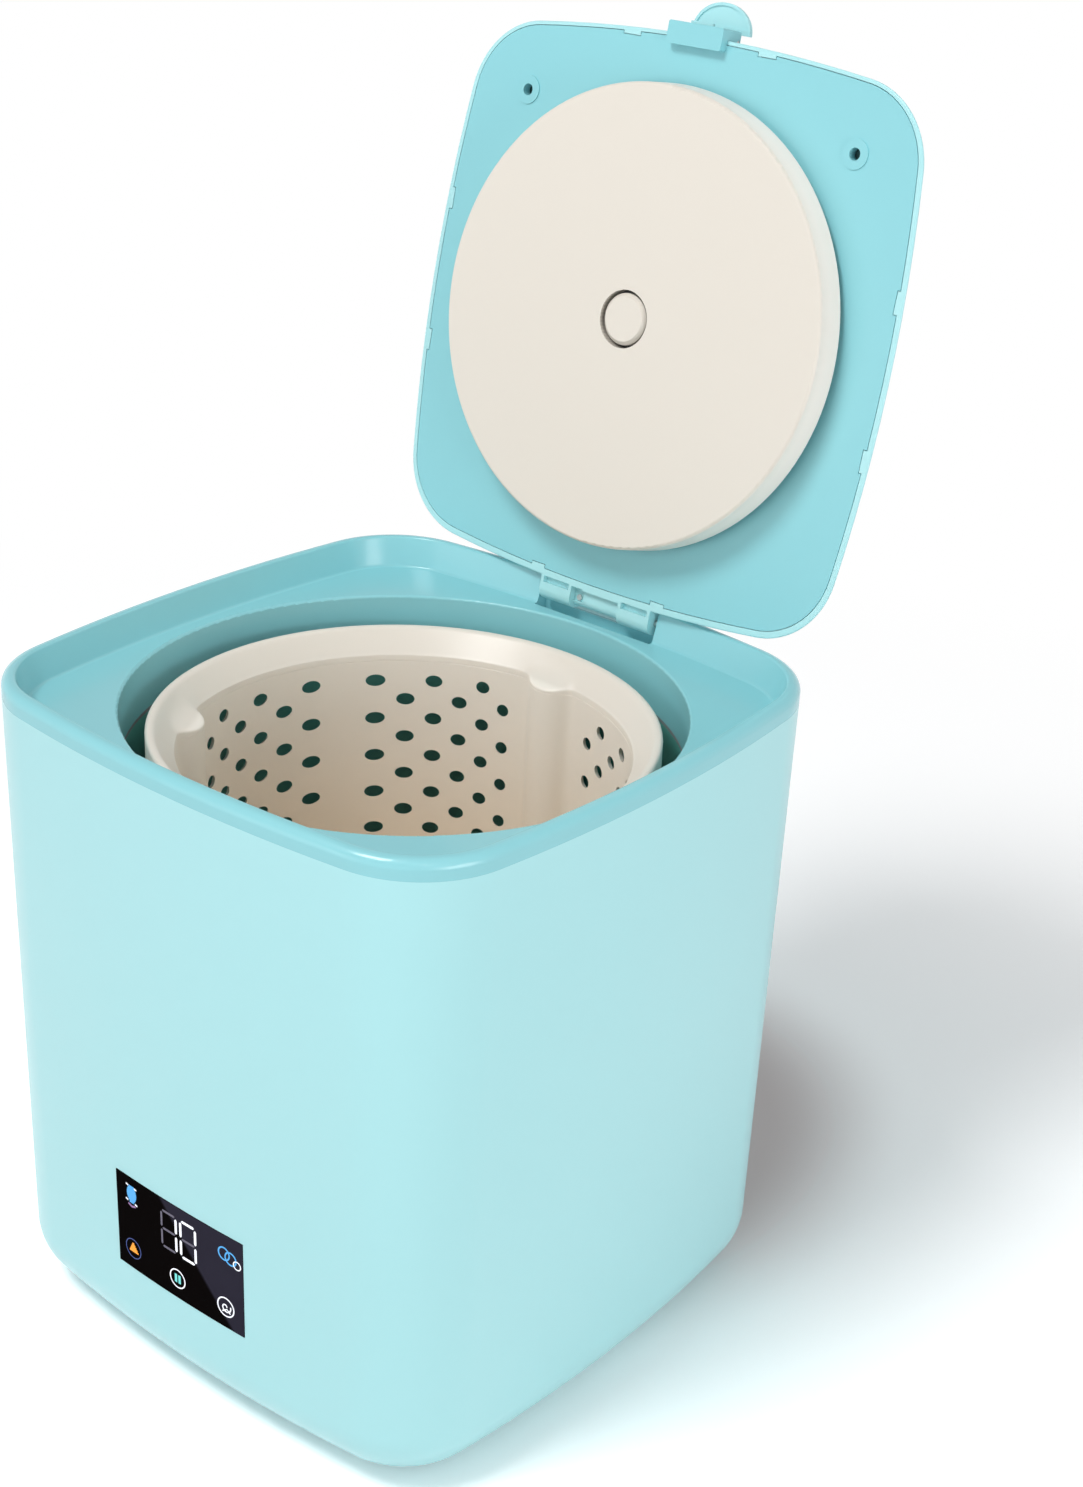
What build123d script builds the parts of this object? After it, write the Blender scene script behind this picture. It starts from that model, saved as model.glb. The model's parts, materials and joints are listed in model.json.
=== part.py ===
from build123d import *
from math import asin, atan2, cos, degrees, hypot, pi, radians, sin, sqrt, tan
import os

# A portable top-loading washing machine: a square rounded body, a flip-up lid that carries a
# freely turning spin cover, and a perforated three-vane basket on a belt-driven shaft.
# Millimetres, +Z up, the front faces -Y. The origin is on the floor under the basket's axis,
# and the lid stands open, which is its rest position.

os.makedirs("parts", exist_ok=True)

# Basket
basket_r = 92.0  # inside of the wall
basket_wall = 2.2
basket_floor_z = 110.0
basket_floor = 2.5
basket_tuck = 3.0  # how far the wall's top stays under the ring's inner edge
vane_count = 3
vane_r = 12.5
vane_rise = 7.6  # how far a vane stands in from the wall
vane_blend = 6.0
hole_across = 5.2
hole_pitch = 18.1
hole_top_gap = 2.3  # from the ring's underside down to the first row's centres
hole_columns = 6  # on each side of a sector's middle
hole_first = 9.1  # degrees from the middle of a sector
hole_step = 8.58
hole_step_shrink = 0.28
hole_bottom_margin = 16.0
hole_drill = 8.0  # how far the drill starts inside and ends outside the wall
basket_cone_r = 24.0
basket_cone_top_r = 11.0
basket_cone_height = 16.0

# Balance ring on the basket
ring_overhang = 9.3  # beyond the basket's wall
ring_height = 19.7
ring_funnel_depth = 9.7
ring_vane_drop = 1.7  # how much lower the funnel ends above the vanes
ring_top_land = 1.2
ring_edge = 0.8

# Body casing
ring_gap = 10.0  # between the ring and the throat around it
deck_width = 16.5  # from the throat to the outside, at the middle of a side
body_corner_r = 44.0
side_bow = 10.0  # how far each side bulges
foot_height = 3.0
rim_z = 285.0  # top of the rim above the floor
seam_drop = 8.0  # from the rim's top to the seam between casing and top cover
deck_drop = 13.2  # from the rim's top to the sunk deck
ring_drop = 22.3  # from the rim's top to the ring's top
tub_drop = 37.0  # from the rim's top to the tub's flange
bottom_narrowing = 3.2  # how much smaller each side is at the bottom
bottom_fillet = 27.0
rim_round = 4.0
casing_wall = 3.0
floor_opening_half = 60.0
floor_opening_r = 10.0

# Top cover
deck_thickness = 3.0
recess_inset = 9.6  # deck edge, in from the outside
recess_fillet = 1.5
crest_inset = 5.5  # top edge of the recess wall, in from the outside
crest_round = 1.2
lip_depth = 11.0  # how far the locating lip hangs below the seam
lip_wall = 2.5
well_wall = 2.5  # walls of the hinge and latch pockets under the deck
fit_gap = 0.3  # between pieces that drop into each other
throat_wall = 2.5
seal_thickness = 1.5
boss_r = 5.0
boss_core_r = 1.2  # hole that a small screw bites into
boss_hole_depth = 12.0

# Lid
lid_side_gap = 0.44  # between the closed lid's edge and the recess, at deck level
lid_front_gap = 3.95
lid_back_overhang = 0.41
lid_corner_step = 8.0  # how much smaller the lid's corners are than the body's
lid_bow_step = 1.6
lid_depth = 11.0
lid_edge_slope = 31.5  # degrees, how fast the lid's edge falls away
lid_crown_r = 8.0
lid_skin = 2.4
lid_edge_round = 0.6
lid_deck_gap = 0.8  # between the closed lid and the deck
lid_open_angle = 102.0
panel_thickness = 1.8
panel_inset = 3.0
panel_shift = 0.65  # towards the free edge
panel_seat_width = 2.7
tooth_depth = 1.5  # teeth of the outer cover in the panel's notches
tooth_side_spread = 31.5
tooth_side_length = 9.7
tooth_hinge_spread = 32.8
tooth_hinge_length = 7.6
tooth_free_spread = 34.0
tooth_free_length = 9.2
screw_side_inset = 36.56
screw_front_inset = 34.15
screw_ring_r = 6.0
screw_ring_height = 0.5
screw_cup_r = 4.0
screw_cup_bore_r = 2.5
screw_cup_depth = 6.0

# Hinge
hinge_inset = 5.8  # axis, in from the back
hinge_drop = 6.2  # axis, down from the rim's top
hinge_to_lid = 5.0  # from the axis to the start of the lid's length
hinge_pin_r = 1.5
running_gap = 0.05  # radial, for pins and bushes that turn
press_gap = 0.02  # radial, for pins that are held
bond_gap = 0.06  # between faces that are glued or bedded
knuckle_r = 5.0
arm_inner_u = 13.0
arm_outer_u = 30.0
barrel_root = 3.5  # how far the arms reach in under the lid's skin
crown_overlap = 0.2
web_recess = 2.5
web_pocket_depth = 1.4
web_pocket_width = 6.0
web_pocket_back = 1.6  # beyond the set screw's axis
web_pocket_front = 0.2
arm_slot_length = 14.0
arm_slot_width = 2.8
arm_slot_front = 0.6
arm_slot_depth = 2.4
hinge_side_gap = 2.0
hinge_pocket_reach = 6.7  # from the axis forwards
hinge_pocket_back = 1.3
hinge_pocket_depth = 11.8
hinge_notch_depth = 6.6
pin_seat_length = 5.5
set_screw_u = -10.0
set_screw_offset = 0.6  # from the pin's axis towards the lid
set_screw_r = 0.88
set_screw_head_r = 1.3
set_screw_head = 0.8

# Spin cover under the lid
cover_face_r = 95.3
cover_base_r = 96.2
cover_drop = 16.4  # from the lid panel to the face
cover_base_gap = 3.4
cover_wall = 2.2
cover_hole_r = 12.0
cover_cap_r = 10.7
cover_bush_gap = 0.08
cover_stud_r = 7.0
cover_stud_collar_r = 9.0
cover_stud_top = 12.0
cover_hub_floor = 9.4  # underside of the hub floor above the panel
cover_edge_round = 1.5
cover_rib_count = 6
cover_rib = 1.6
cap_plug_r = 3.0
cap_plug_length = 8.0
cap_edge = 1.5

# Latch
latch_block_half = 13.7
latch_block_proud = 3.85  # beyond the lid's free edge
latch_block_length = 9.1
latch_block_raise = 4.0
latch_block_depth = 9.0
latch_wall = 1.2
latch_cheek = 2.5  # side walls of the housing
latch_pivot_back = 4.5  # from the housing's front face
latch_pivot_depth = 8.0
latch_pin_r = 1.0
latch_lever_half = 9.0
latch_stem_back = 2.2
latch_stem_front = 2.0
latch_tab_half = 14.6
latch_tab_reach = 11.8
latch_chord_back = 1.3  # from the housing's front face to the tab's straight edge
latch_dish_edge = 1.2
latch_dish_back = 2.4  # from the straight edge to the dish
latch_dish = 0.6
latch_tab_under = 13.8  # underside of the tab above the panel
latch_tab_thickness = 2.2
latch_tab_edge = 0.8
latch_nose_reach = 1.1
latch_nose_half = 5.5
latch_nose_top = 1.3
latch_nose_low = 0.2
latch_window_gap = 0.75
latch_travel = 6.5  # degrees
latch_pocket_gap = 0.55
latch_ledge_depth = 1.45
latch_spring_r = 2.3

# Wash tub
tub_wall = 2.5
tub_floor_z = 92.0
tub_floor = 3.0
tub_flange_reach = 5.0
tub_flange = 2.5
tub_corner = 8.0
tub_ear_reach = 7.0  # from the flange's edge to the ear's screw
tub_ear_pad_r = 6.5
tub_hub_r = 15.5
tub_hub_bottom_z = 62.0

# Shaft, bearings and belt drive
shaft_r = 4.0
shaft_bottom_z = 33.0
shaft_nut_reach = 5.0
bearing_outer_r = 11.0
bearing_width = 7.0
bearing_shoulder_r = 8.0
lower_bearing_z = 62.8
upper_bearing_z = 78.7
seal_height = 6.0
nut_across = 16.0
nut_height = 6.0
nut_dome = 4.5
belt_plane_z = 44.0
belt_width = 6.0
belt_thickness = 2.0
pulley_width = 12.0
pulley_flange = 2.0
pulley_flange_width = 1.5
driven_pulley_r = 45.0
pulley_rim = 4.0
pulley_hub_r = 10.0
pulley_web = 4.0
pulley_hole_r = 8.5
pulley_hole_count = 5
pulley_nut_across = 13.0
pulley_nut_height = 4.0
motor_pulley_r = 9.0
shaft_distance = 72.0
motor_angle = -45.0
motor_r = 24.0
motor_head_gap = 3.0  # between the motor and the tub's floor
motor_edge = 3.0
motor_shaft_r = 2.5
motor_shaft_inside = 18.0
motor_boss_r = 6.5
motor_screw_spread = 16.0
motor_screw_r = 1.5
bracket_top_z = 54.5
bracket_plate = 2.5
bracket_half_width = 30.0
bracket_back = 30.0  # from the motor's axis towards the drum
bracket_front = 20.0
bracket_leg_back = 10.0
bracket_foot = 11.0
bracket_foot_screw = 6.0

# Base, feet and screws
base_plate_thickness = 2.5
base_plate_clearance = 1.2
base_boss_r = 4.0
base_boss_height = 6.5
cooling_slot_length = 36.0
cooling_slot_width = 3.5
cooling_slot_pitch = 8.0
cooling_slot_count = 5
foot_inset = 48.0
foot_r = 9.0
foot_edge = 1.0
foot_stem_r = 3.0
base_screw_inset = 54.0
screw_head_r = 3.5
screw_head = 2.0
screw_shank_r = 1.7
screw_clearance = 0.2

# Drain and power at the back
outlet_x = -35.0
outlet_y = 72.0
outlet_r = 7.9
outlet_bore_r = 5.5
outlet_length = 10.0
hose_wall = 2.0
hose_bend_r = 20.0
hose_grip = 8.0  # length of spigot inside the hose
service_z = 45.0
service_pad_r = 15.0
service_pad_inset = 2.4
spigot_inside = 23.6
spigot_flange_r = 13.0
spigot_flange = 2.5
nozzle_length = 12.0
plug_length = 9.0
plug_head = 2.7
plug_ring_r = 4.5
plug_ring_width = 2.0
plug_travel = 25.0
inlet_x = 45.0
inlet_r = 6.0
inlet_flange_r = 9.0
inlet_flange = 1.5
inlet_inside = 17.6
inlet_bore_r = 3.2
inlet_bore_depth = 9.0
inlet_contact_r = 1.0

# Display and boards
display_width = 73.0
display_height = 45.0
display_z = 72.0
display_glass = 1.5
display_proud = 0.25
led_width = 60.0
led_height = 30.0
led_depth = 5.0
led_gap = 1.2  # behind the glass
board_width = 68.0
board_height = 41.0
board_thickness = 1.6
board_post_r = 2.0
board_margin = 0.5
power_board_x = 48.0
power_board_y = 71.0
power_board_width = 60.0
power_board_depth = 38.0
power_board_rise = 6.0
power_post_r = 2.5
power_post_inset = 4.0
transformer_size = (18.0, 16.0, 13.4)
capacitor_r = 5.0
capacitor_height = 15.4
relay_size = (8.0, 16.0, 7.4)
sensor_side_inset = 54.0
sensor_front_inset = 29.0
sensor_size = (12.0, 6.0, 5.0)
magnet_size = (12.0, 5.0, 3.0)
magnet_back = 3.0

# Worked out from the sizes above
ring_outer_r = basket_r + basket_wall + ring_overhang
vane_reach = basket_r - vane_rise
throat_r = ring_outer_r + ring_gap
body_half = throat_r + deck_width
floor_z = foot_height + casing_wall
base_top_z = floor_z + base_plate_thickness
seam_z = rim_z - seam_drop
deck_z = rim_z - deck_drop
deck_under_z = deck_z - deck_thickness
ring_top_z = rim_z - ring_drop
ring_bottom_z = ring_top_z - ring_height
ring_lip_z = ring_top_z - ring_funnel_depth
ring_vane_z = ring_lip_z - ring_vane_drop
basket_top_z = ring_lip_z - basket_tuck
hole_top_z = ring_bottom_z - hole_top_gap
tub_top_z = rim_z - tub_drop
skirt_bottom_z = tub_top_z + seal_thickness
tub_flange_r = throat_r + tub_wall + tub_flange_reach
tub_ear_r = tub_flange_r + tub_ear_reach
hinge_y = body_half - hinge_inset
hinge_z = rim_z - hinge_drop
lid_back_y = hinge_y - hinge_to_lid
panel_z = deck_z + lid_deck_gap
hinge_v = lid_back_y - hinge_y
hinge_w = panel_z - hinge_z
set_screw_v = hinge_v + set_screw_offset
hinge_pocket_half = arm_outer_u + hinge_side_gap
lid_half_width = body_half - recess_inset - lid_side_gap
lid_end = lid_back_y + body_half - recess_inset - lid_front_gap  # free edge, along the lid
lid_length = lid_end + lid_back_overhang
lid_corner_r = body_corner_r - lid_corner_step
lid_bow = side_bow - lid_bow_step
screw_place = (lid_half_width - screw_side_inset, lid_end - screw_front_inset)
latch_block_end = lid_end + latch_block_proud
latch_block_start = latch_block_end - latch_block_length
latch_pivot = (latch_block_end - latch_pivot_back, -latch_pivot_depth)
latch_tab_chord = latch_block_end - latch_chord_back
foot_place = body_half - foot_inset
base_screw_place = body_half - base_screw_inset
service_pad_y = body_half - service_pad_inset
outlet_place = (outlet_x, outlet_y)
sensor_place = (sensor_side_inset - body_half, sensor_front_inset - body_half)
motor_place = (shaft_distance * cos(radians(motor_angle)), shaft_distance * sin(radians(motor_angle)))
bracket_mid = (bracket_front - bracket_leg_back) / 2
bracket_screw_y = bracket_half_width + bracket_foot_screw
latch_face_y = lid_back_y - latch_block_end - latch_pocket_gap


def box(x0, x1, y0, y1, z0, z1):
    """A block between two corners."""
    return Pos((x0 + x1) / 2, (y0 + y1) / 2, (z0 + z1) / 2) * Box(x1 - x0, y1 - y0, z1 - z0)


def rod(r, z0, z1, x=0.0, y=0.0):
    """An upright cylinder between two heights."""
    return Pos(x, y, (z0 + z1) / 2) * Cylinder(r, z1 - z0)


def tube(r_in, r_out, z0, z1, x=0.0, y=0.0):
    """An upright tube between two heights."""
    return rod(r_out, z0, z1, x, y) - rod(r_in, z0 - 1, z1 + 1, x, y)


def turned(*points):
    """A solid of revolution about Z from (radius, height) points."""
    profile = make_face(Plane.XZ * Polyline(*points, close=True))
    return revolve(profile, Axis.Z)


def around(count, piece, first=0.0):
    """Copies of a piece spaced evenly round Z."""
    return [Rot(0, 0, first + 360 * i / count) * piece for i in range(count)]


def outline(half, corner_r, bow, inset=0.0, half_length=None):
    """A rounded rectangle with bowed sides as a flat face, drawn in from its own edge."""
    long = half if half_length is None else half_length
    r_x = ((long - 0.3 * corner_r) ** 2 + bow**2) / (2 * bow)
    r_y = ((half - 0.3 * corner_r) ** 2 + bow**2) / (2 * bow)
    at_x, at_y = half - r_x, long - r_y
    apart = hypot(at_x, at_y)
    along = ((r_x - corner_r) ** 2 - (r_y - corner_r) ** 2 + apart**2) / (2 * apart)
    across = sqrt((r_x - corner_r) ** 2 - along**2)
    corner_x = at_x + (-along * at_x - across * at_y) / apart
    corner_y = (along * at_y - across * at_x) / apart
    lean_x = degrees(atan2(corner_y, corner_x - at_x))
    lean_y = degrees(atan2(corner_x, corner_y - at_y))
    corner_turn = 90 - lean_x - lean_y
    return make_face([
        CenterArc((at_x, 0), r_x - inset, -lean_x, 2 * lean_x),
        CenterArc((corner_x, corner_y), corner_r - inset, lean_x, corner_turn),
        CenterArc((0, at_y), r_y - inset, 90 - lean_y, 2 * lean_y),
        CenterArc((-corner_x, corner_y), corner_r - inset, 90 + lean_y, corner_turn),
        CenterArc((-at_x, 0), r_x - inset, 180 - lean_x, 2 * lean_x),
        CenterArc((-corner_x, -corner_y), corner_r - inset, 180 + lean_x, corner_turn),
        CenterArc((0, -at_y), r_y - inset, 270 - lean_y, 2 * lean_y),
        CenterArc((corner_x, -corner_y), corner_r - inset, 270 + lean_y, corner_turn),
    ])


def body_outline(inset, z):
    """The casing's outline at a height."""
    return Pos(0, 0, z) * outline(body_half, body_corner_r, side_bow, inset)


def lid_outline(inset, height=0.0):
    """The lid's outline in the lid's own plane, with its hinge edge near zero."""
    middle = lid_length / 2 - lid_back_overhang
    face = outline(lid_half_width, lid_corner_r, lid_bow, inset, lid_length / 2)
    return Pos(0, middle, height) * face


def casing_solid(inset):
    """The whole casing up to the seam as one solid, drawn in by an inset."""
    bottom = body_outline(bottom_narrowing + inset, foot_height + inset)
    solid = loft([bottom, body_outline(inset, seam_z)])
    lowest = solid.edges().group_by(Axis.Z)[0]
    return fillet(lowest, bottom_fillet - inset)


def narrowing_at(z):
    """How far the casing has drawn in at a height."""
    return bottom_narrowing * (seam_z - z) / (seam_z - foot_height)


board_front_y = narrowing_at(display_z) + display_glass + led_gap + led_depth - body_half


# The lid is drawn flat: X across, Y from hinge to free edge, Z out of its underside
closed_lid = Plane(origin=(0, lid_back_y, panel_z), x_dir=(1, 0, 0), z_dir=(0, 0, -1)).location
hinge_at = Pos(0, hinge_y, hinge_z)
open_lid = hinge_at * Rot(-lid_open_angle, 0, 0) * Pos(0, -hinge_y, -hinge_z) * closed_lid


def outer_shell():
    """Drafted outer casing with its floor, service pads, display window and hinge notch."""
    shell = casing_solid(0) - casing_solid(casing_wall)
    shell -= box(-body_half, body_half, -body_half, body_half, seam_z - 0.01, rim_z)
    opening = RectangleRounded(2 * floor_opening_half, 2 * floor_opening_half, floor_opening_r)
    shell -= extrude(Pos(0, 0, foot_height - 1) * opening, casing_wall + 2)
    for x, r in ((outlet_x, outlet_r), (inlet_x, inlet_r)):
        shell += along_back(rod(service_pad_r, body_half - 3 * casing_wall, service_pad_y), x)
        shell -= along_back(rod(r + bond_gap, body_half - 4 * casing_wall, body_half + casing_wall), x)
    shell -= display_window(display_width + 2 * fit_gap, display_height + 2 * fit_gap, display_glass)
    shell -= display_window(led_width + 4 * fit_gap, led_height + 4 * fit_gap, casing_wall + 1)
    shell += display_posts()
    for x in (-1, 1):
        for y in (-1, 1):
            shell -= rod(foot_stem_r, 0, floor_z + 1, x * foot_place, y * foot_place)
    shell -= screw_holes()
    return shell - hinge_notch(fit_gap)


def screw_spots():
    """Where the base screws go, on the middle of each side."""
    return [(base_screw_place, 0), (-base_screw_place, 0), (0, base_screw_place), (0, -base_screw_place)]


def screw_holes():
    """Countersunk holes through the casing floor for the base screws."""
    holes = []
    for x, y in screw_spots():
        holes.append(rod(screw_head_r + screw_clearance, 0, foot_height + screw_head, x, y))
        holes.append(rod(screw_shank_r + screw_clearance, 0, floor_z + 1, x, y))
    return holes


def display_posts():
    """Four posts inside the front wall that carry the display board."""
    edge = board_post_r + board_margin
    x, z = board_width / 2 - edge, board_height / 2 - edge
    post = Rot(90, 0, 0) * Cylinder(board_post_r, board_front_y + body_half)
    middle_y = (board_front_y - body_half) / 2
    posts = [Pos(i * x, middle_y, display_z + k * z) * post for i in (-1, 1) for k in (-1, 1)]
    return [piece & casing_solid(casing_wall - 0.5) for piece in posts]


def display_window(width, height, depth):
    """The space of the display glass, sunk into the curved front wall by a depth."""
    sunk = casing_solid(0) - casing_solid(depth)
    low, high = display_z - height / 2, display_z + height / 2
    return sunk & box(-width / 2, width / 2, -body_half - casing_wall, -body_half / 2, low, high)


def top_cover():
    """Rim, sunk deck, throat and locating lip as one moulding, with the hinge and latch pockets."""
    rim = extrude(body_outline(0, seam_z), seam_drop)
    rim = fillet(rim.edges().group_by(Axis.Z)[-1], rim_round)
    lip_inset = casing_wall + fit_gap
    lip_low = seam_z - lip_depth
    cover = rim + extrude(body_outline(lip_inset, lip_low), lip_depth)
    slope = (recess_inset - crest_inset) / deck_drop
    recess = loft([body_outline(recess_inset, deck_z), body_outline(crest_inset - slope, rim_z + 1)])
    cover -= fillet(recess.edges().group_by(Axis.Z)[0], recess_fillet)
    cover = fillet(crest_edges(cover), crest_round)
    cover -= extrude(body_outline(lip_inset + lip_wall, lip_low - 1), deck_under_z - lip_low + 1)
    inside_lip = extrude(body_outline(lip_inset, lip_low), lip_depth)
    cover += (hinge_well(well_wall) + latch_well(well_wall)) & inside_lip
    cover += tube(throat_r, throat_r + throat_wall, skirt_bottom_z, deck_under_z)
    cover += [rod(boss_r, tub_top_z, deck_under_z + 0.5, x, y) for x, y in tub_spots()]
    cover -= rod(throat_r, skirt_bottom_z - 1, rim_z)
    cover = fillet(throat_edge(cover), crest_round)
    cover -= hinge_well(0)
    cover -= hinge_notch(0)
    cover -= hinge_at * Rot(0, 90, 0) * Cylinder(hinge_pin_r + running_gap, hinge_pin_length + 1)
    cover -= latch_well(0) + latch_nose_recess()
    cover -= [rod(boss_core_r, tub_top_z - 1, tub_top_z + boss_hole_depth, x, y) for x, y in tub_spots()]
    return cover


def hinge_well(wall):
    """The pocket that the lid's arms swing in, or its outside where a wall is given."""
    half = hinge_pocket_half + wall
    front = hinge_y - hinge_pocket_reach - wall
    back = hinge_y + hinge_pocket_back
    low = hinge_z - hinge_pocket_depth
    high = deck_under_z if wall else rim_z + 1
    return box(-half, half, front, back, low - wall, high)


def hinge_notch(gap):
    """The cut through the back of the rim for the arms, widened by a gap."""
    half = hinge_pocket_half + gap
    return box(-half, half, hinge_y, body_half + 1, hinge_z - hinge_notch_depth, rim_z + 1)


def latch_well(wall):
    """The pocket that the latch housing drops into, or its outside where a wall is given."""
    half = latch_block_half + 2 * fit_gap + wall
    back = lid_back_y - latch_block_start + 2 * fit_gap + wall
    low = panel_z - latch_block_raise - fit_gap - wall
    high = deck_under_z if wall else rim_z + 1
    return box(-half, half, latch_face_y - wall, back, low, high)


def latch_nose_recess():
    """The catch for the latch's nose in the pocket's front wall."""
    half = latch_nose_half + 1
    low = panel_z - latch_block_raise - fit_gap
    high = panel_z + latch_nose_top + fit_gap
    return box(-half, half, latch_face_y - latch_ledge_depth, latch_face_y + 1, low, high)


def crest_edges(cover):
    """The inner edges of the rim's crest."""
    top = cover.edges().filter_by_position(Axis.Z, rim_z - 0.01, rim_z + 0.01)
    return [edge for edge in top if on_inset(edge, crest_inset)]


def on_inset(edge, inset):
    """Whether an edge's middle lies on the casing outline drawn in by an inset."""
    x, y = abs((edge @ 0.5).X), abs((edge @ 0.5).Y)
    side_r = ((body_half - 0.3 * body_corner_r) ** 2 + side_bow**2) / (2 * side_bow)
    back = body_half - side_r
    corner = (back + sqrt(2 * (side_r - body_corner_r) ** 2 - back**2)) / 2
    to_side = side_r - hypot(max(x, y) - back, min(x, y))
    to_corner = body_corner_r - hypot(x - corner, y - corner)
    return min(abs(to_side - inset), abs(to_corner - inset)) < 0.3


def throat_edge(cover):
    """The circular edge where the deck meets the throat."""
    level = cover.edges().filter_by_position(Axis.Z, deck_z - 0.01, deck_z + 0.01)
    return [edge for edge in level if abs(hypot((edge @ 0.5).X, (edge @ 0.5).Y) - throat_r) < 0.1]


def tub_spots():
    """The four screw places of the wash tub, in the corners of the body."""
    reach = tub_ear_r / sqrt(2)
    return [(reach, reach), (-reach, reach), (-reach, -reach), (reach, -reach)]


def wash_tub():
    """Watertight tub with its flange, ears, bearing hub and drain outlet."""
    wall_out = throat_r + tub_wall
    under = tub_floor_z - tub_floor
    seat = bearing_outer_r + press_gap
    tub = turned(
        (bearing_shoulder_r, lower_bearing_z + bearing_width), (seat, lower_bearing_z + bearing_width),
        (seat, tub_hub_bottom_z), (tub_hub_r, tub_hub_bottom_z), (tub_hub_r, under),
        (wall_out - tub_corner, under), (wall_out, under + tub_corner), (wall_out, tub_top_z - tub_flange),
        (tub_flange_r, tub_top_z - tub_flange), (tub_flange_r, tub_top_z), (throat_r, tub_top_z),
        (throat_r, tub_floor_z + tub_corner), (throat_r - tub_corner, tub_floor_z), (seat, tub_floor_z),
        (seat, upper_bearing_z), (bearing_shoulder_r, upper_bearing_z),
    )
    for x, y in tub_spots():
        ear = rod(tub_ear_pad_r, tub_top_z - tub_flange, tub_top_z, x, y)
        arm = box(throat_r + 1, tub_ear_r, -tub_ear_pad_r, tub_ear_pad_r, tub_top_z - tub_flange, tub_top_z)
        tub += ear + Rot(0, 0, degrees(atan2(y, x))) * arm
        tub -= rod(boss_core_r + screw_clearance, tub_top_z - tub_flange - 1, tub_top_z + 1, x, y)
    tub += rod(outlet_r, under - outlet_length, under + tub_floor / 2, *outlet_place)
    tub -= rod(outlet_bore_r, under - outlet_length - 1, tub_floor_z + 1, *outlet_place)
    return tub


def tub_seal():
    """Flat rubber ring between the tub's flange and the throat skirt."""
    return tube(throat_r, tub_flange_r - tub_wall, tub_top_z, skirt_bottom_z)


def screw_up(x, y, seat_z, length, shank_r):
    """A screw driven upwards, its head under a seat."""
    return rod(screw_head_r, seat_z - screw_head, seat_z, x, y) + rod(shank_r, seat_z, seat_z + length, x, y)


def tub_screws():
    """The four screws that hang the tub from the top cover."""
    seat_z = tub_top_z - tub_flange
    length = tub_flange + boss_hole_depth - screw_head
    return [screw_up(x, y, seat_z, length, boss_core_r - press_gap) for x, y in tub_spots()]


def base_plate():
    """Flat plate on the casing's floor with screw bosses and cooling slots."""
    inset = bottom_narrowing + bottom_fillet + base_plate_clearance
    plate = extrude(body_outline(inset, floor_z), base_plate_thickness)
    for x, y in screw_spots():
        plate += rod(base_boss_r, floor_z, base_top_z + base_boss_height, x, y)
        plate -= rod(screw_shank_r, floor_z - 1, base_top_z + base_boss_height + 1, x, y)
    for i in range(cooling_slot_count):
        off = (i - (cooling_slot_count - 1) / 2) * cooling_slot_pitch
        slot = extrude(SlotOverall(cooling_slot_length, cooling_slot_width), base_plate_thickness + 1)
        plate -= Rot(0, 0, motor_angle) * Pos(shaft_distance, off, floor_z) * slot
    return plate


def base_screws():
    """Screws up through the casing floor into the base plate."""
    seat_z = foot_height + screw_head
    length = base_top_z + base_boss_height - seat_z - screw_head
    return [screw_up(x, y, seat_z, length, screw_shank_r - press_gap) for x, y in screw_spots()]


def foot(x, y):
    """Rubber foot with a push-in stem."""
    stem_r, stem_top = foot_stem_r - bond_gap, floor_z - bond_gap
    profile = turned((0, 0), (foot_r - foot_edge, 0), (foot_r, foot_edge), (foot_r, foot_height),
                     (stem_r, foot_height), (stem_r, stem_top), (0, stem_top))
    return Pos(x, y, 0) * profile


def vane_outline(grow=0.0):
    """The basket's plan: a circle with inward vanes, optionally grown outwards."""
    plan = Circle(basket_r + grow)
    centre = vane_reach + vane_r
    for i in range(vane_count):
        plan -= Rot(0, 0, 90 + 360 * i / vane_count) * Pos(centre, 0) * Circle(vane_r - grow)
    return fillet(plan.vertices(), vane_blend + grow)


def hole_rows():
    """Heights of the two staggered kinds of hole column."""
    lowest = basket_floor_z + hole_bottom_margin
    rows = [[], []]
    step = 0
    while hole_top_z - step * hole_pitch / 2 > lowest:
        rows[step % 2].append(hole_top_z - step * hole_pitch / 2)
        step += 1
    return rows


def basket_holes():
    """Hexagonal drain holes in staggered columns, mirrored about each sector's middle.

    The mould opens with one slide behind each vane, so a hole runs the way its slide does, and
    the holes look widest near the middle of a sector.
    """
    rows = hole_rows()
    hexagon = Rot(0, 0, 30) * RegularPolygon(hole_across / 2, 6, major_radius=False)
    drill = Pos(-hole_drill, 0, 0) * Rot(0, 90, 0) * extrude(hexagon, 2 * hole_drill + basket_wall)
    to_vane = 180 / vane_count
    holes = []
    for sector in range(vane_count):
        middle = 90 + 360 * (sector + 0.5) / vane_count
        for column in range(hole_columns):
            away = hole_first + column * hole_step - column**2 * hole_step_shrink
            for side in (-1, 1):
                turned_drill = Rot(0, 0, side * (to_vane - away)) * drill
                for z in rows[column % 2]:
                    holes.append(Rot(0, 0, middle + side * away) * Pos(basket_r, 0, z) * turned_drill)
    return holes


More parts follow.
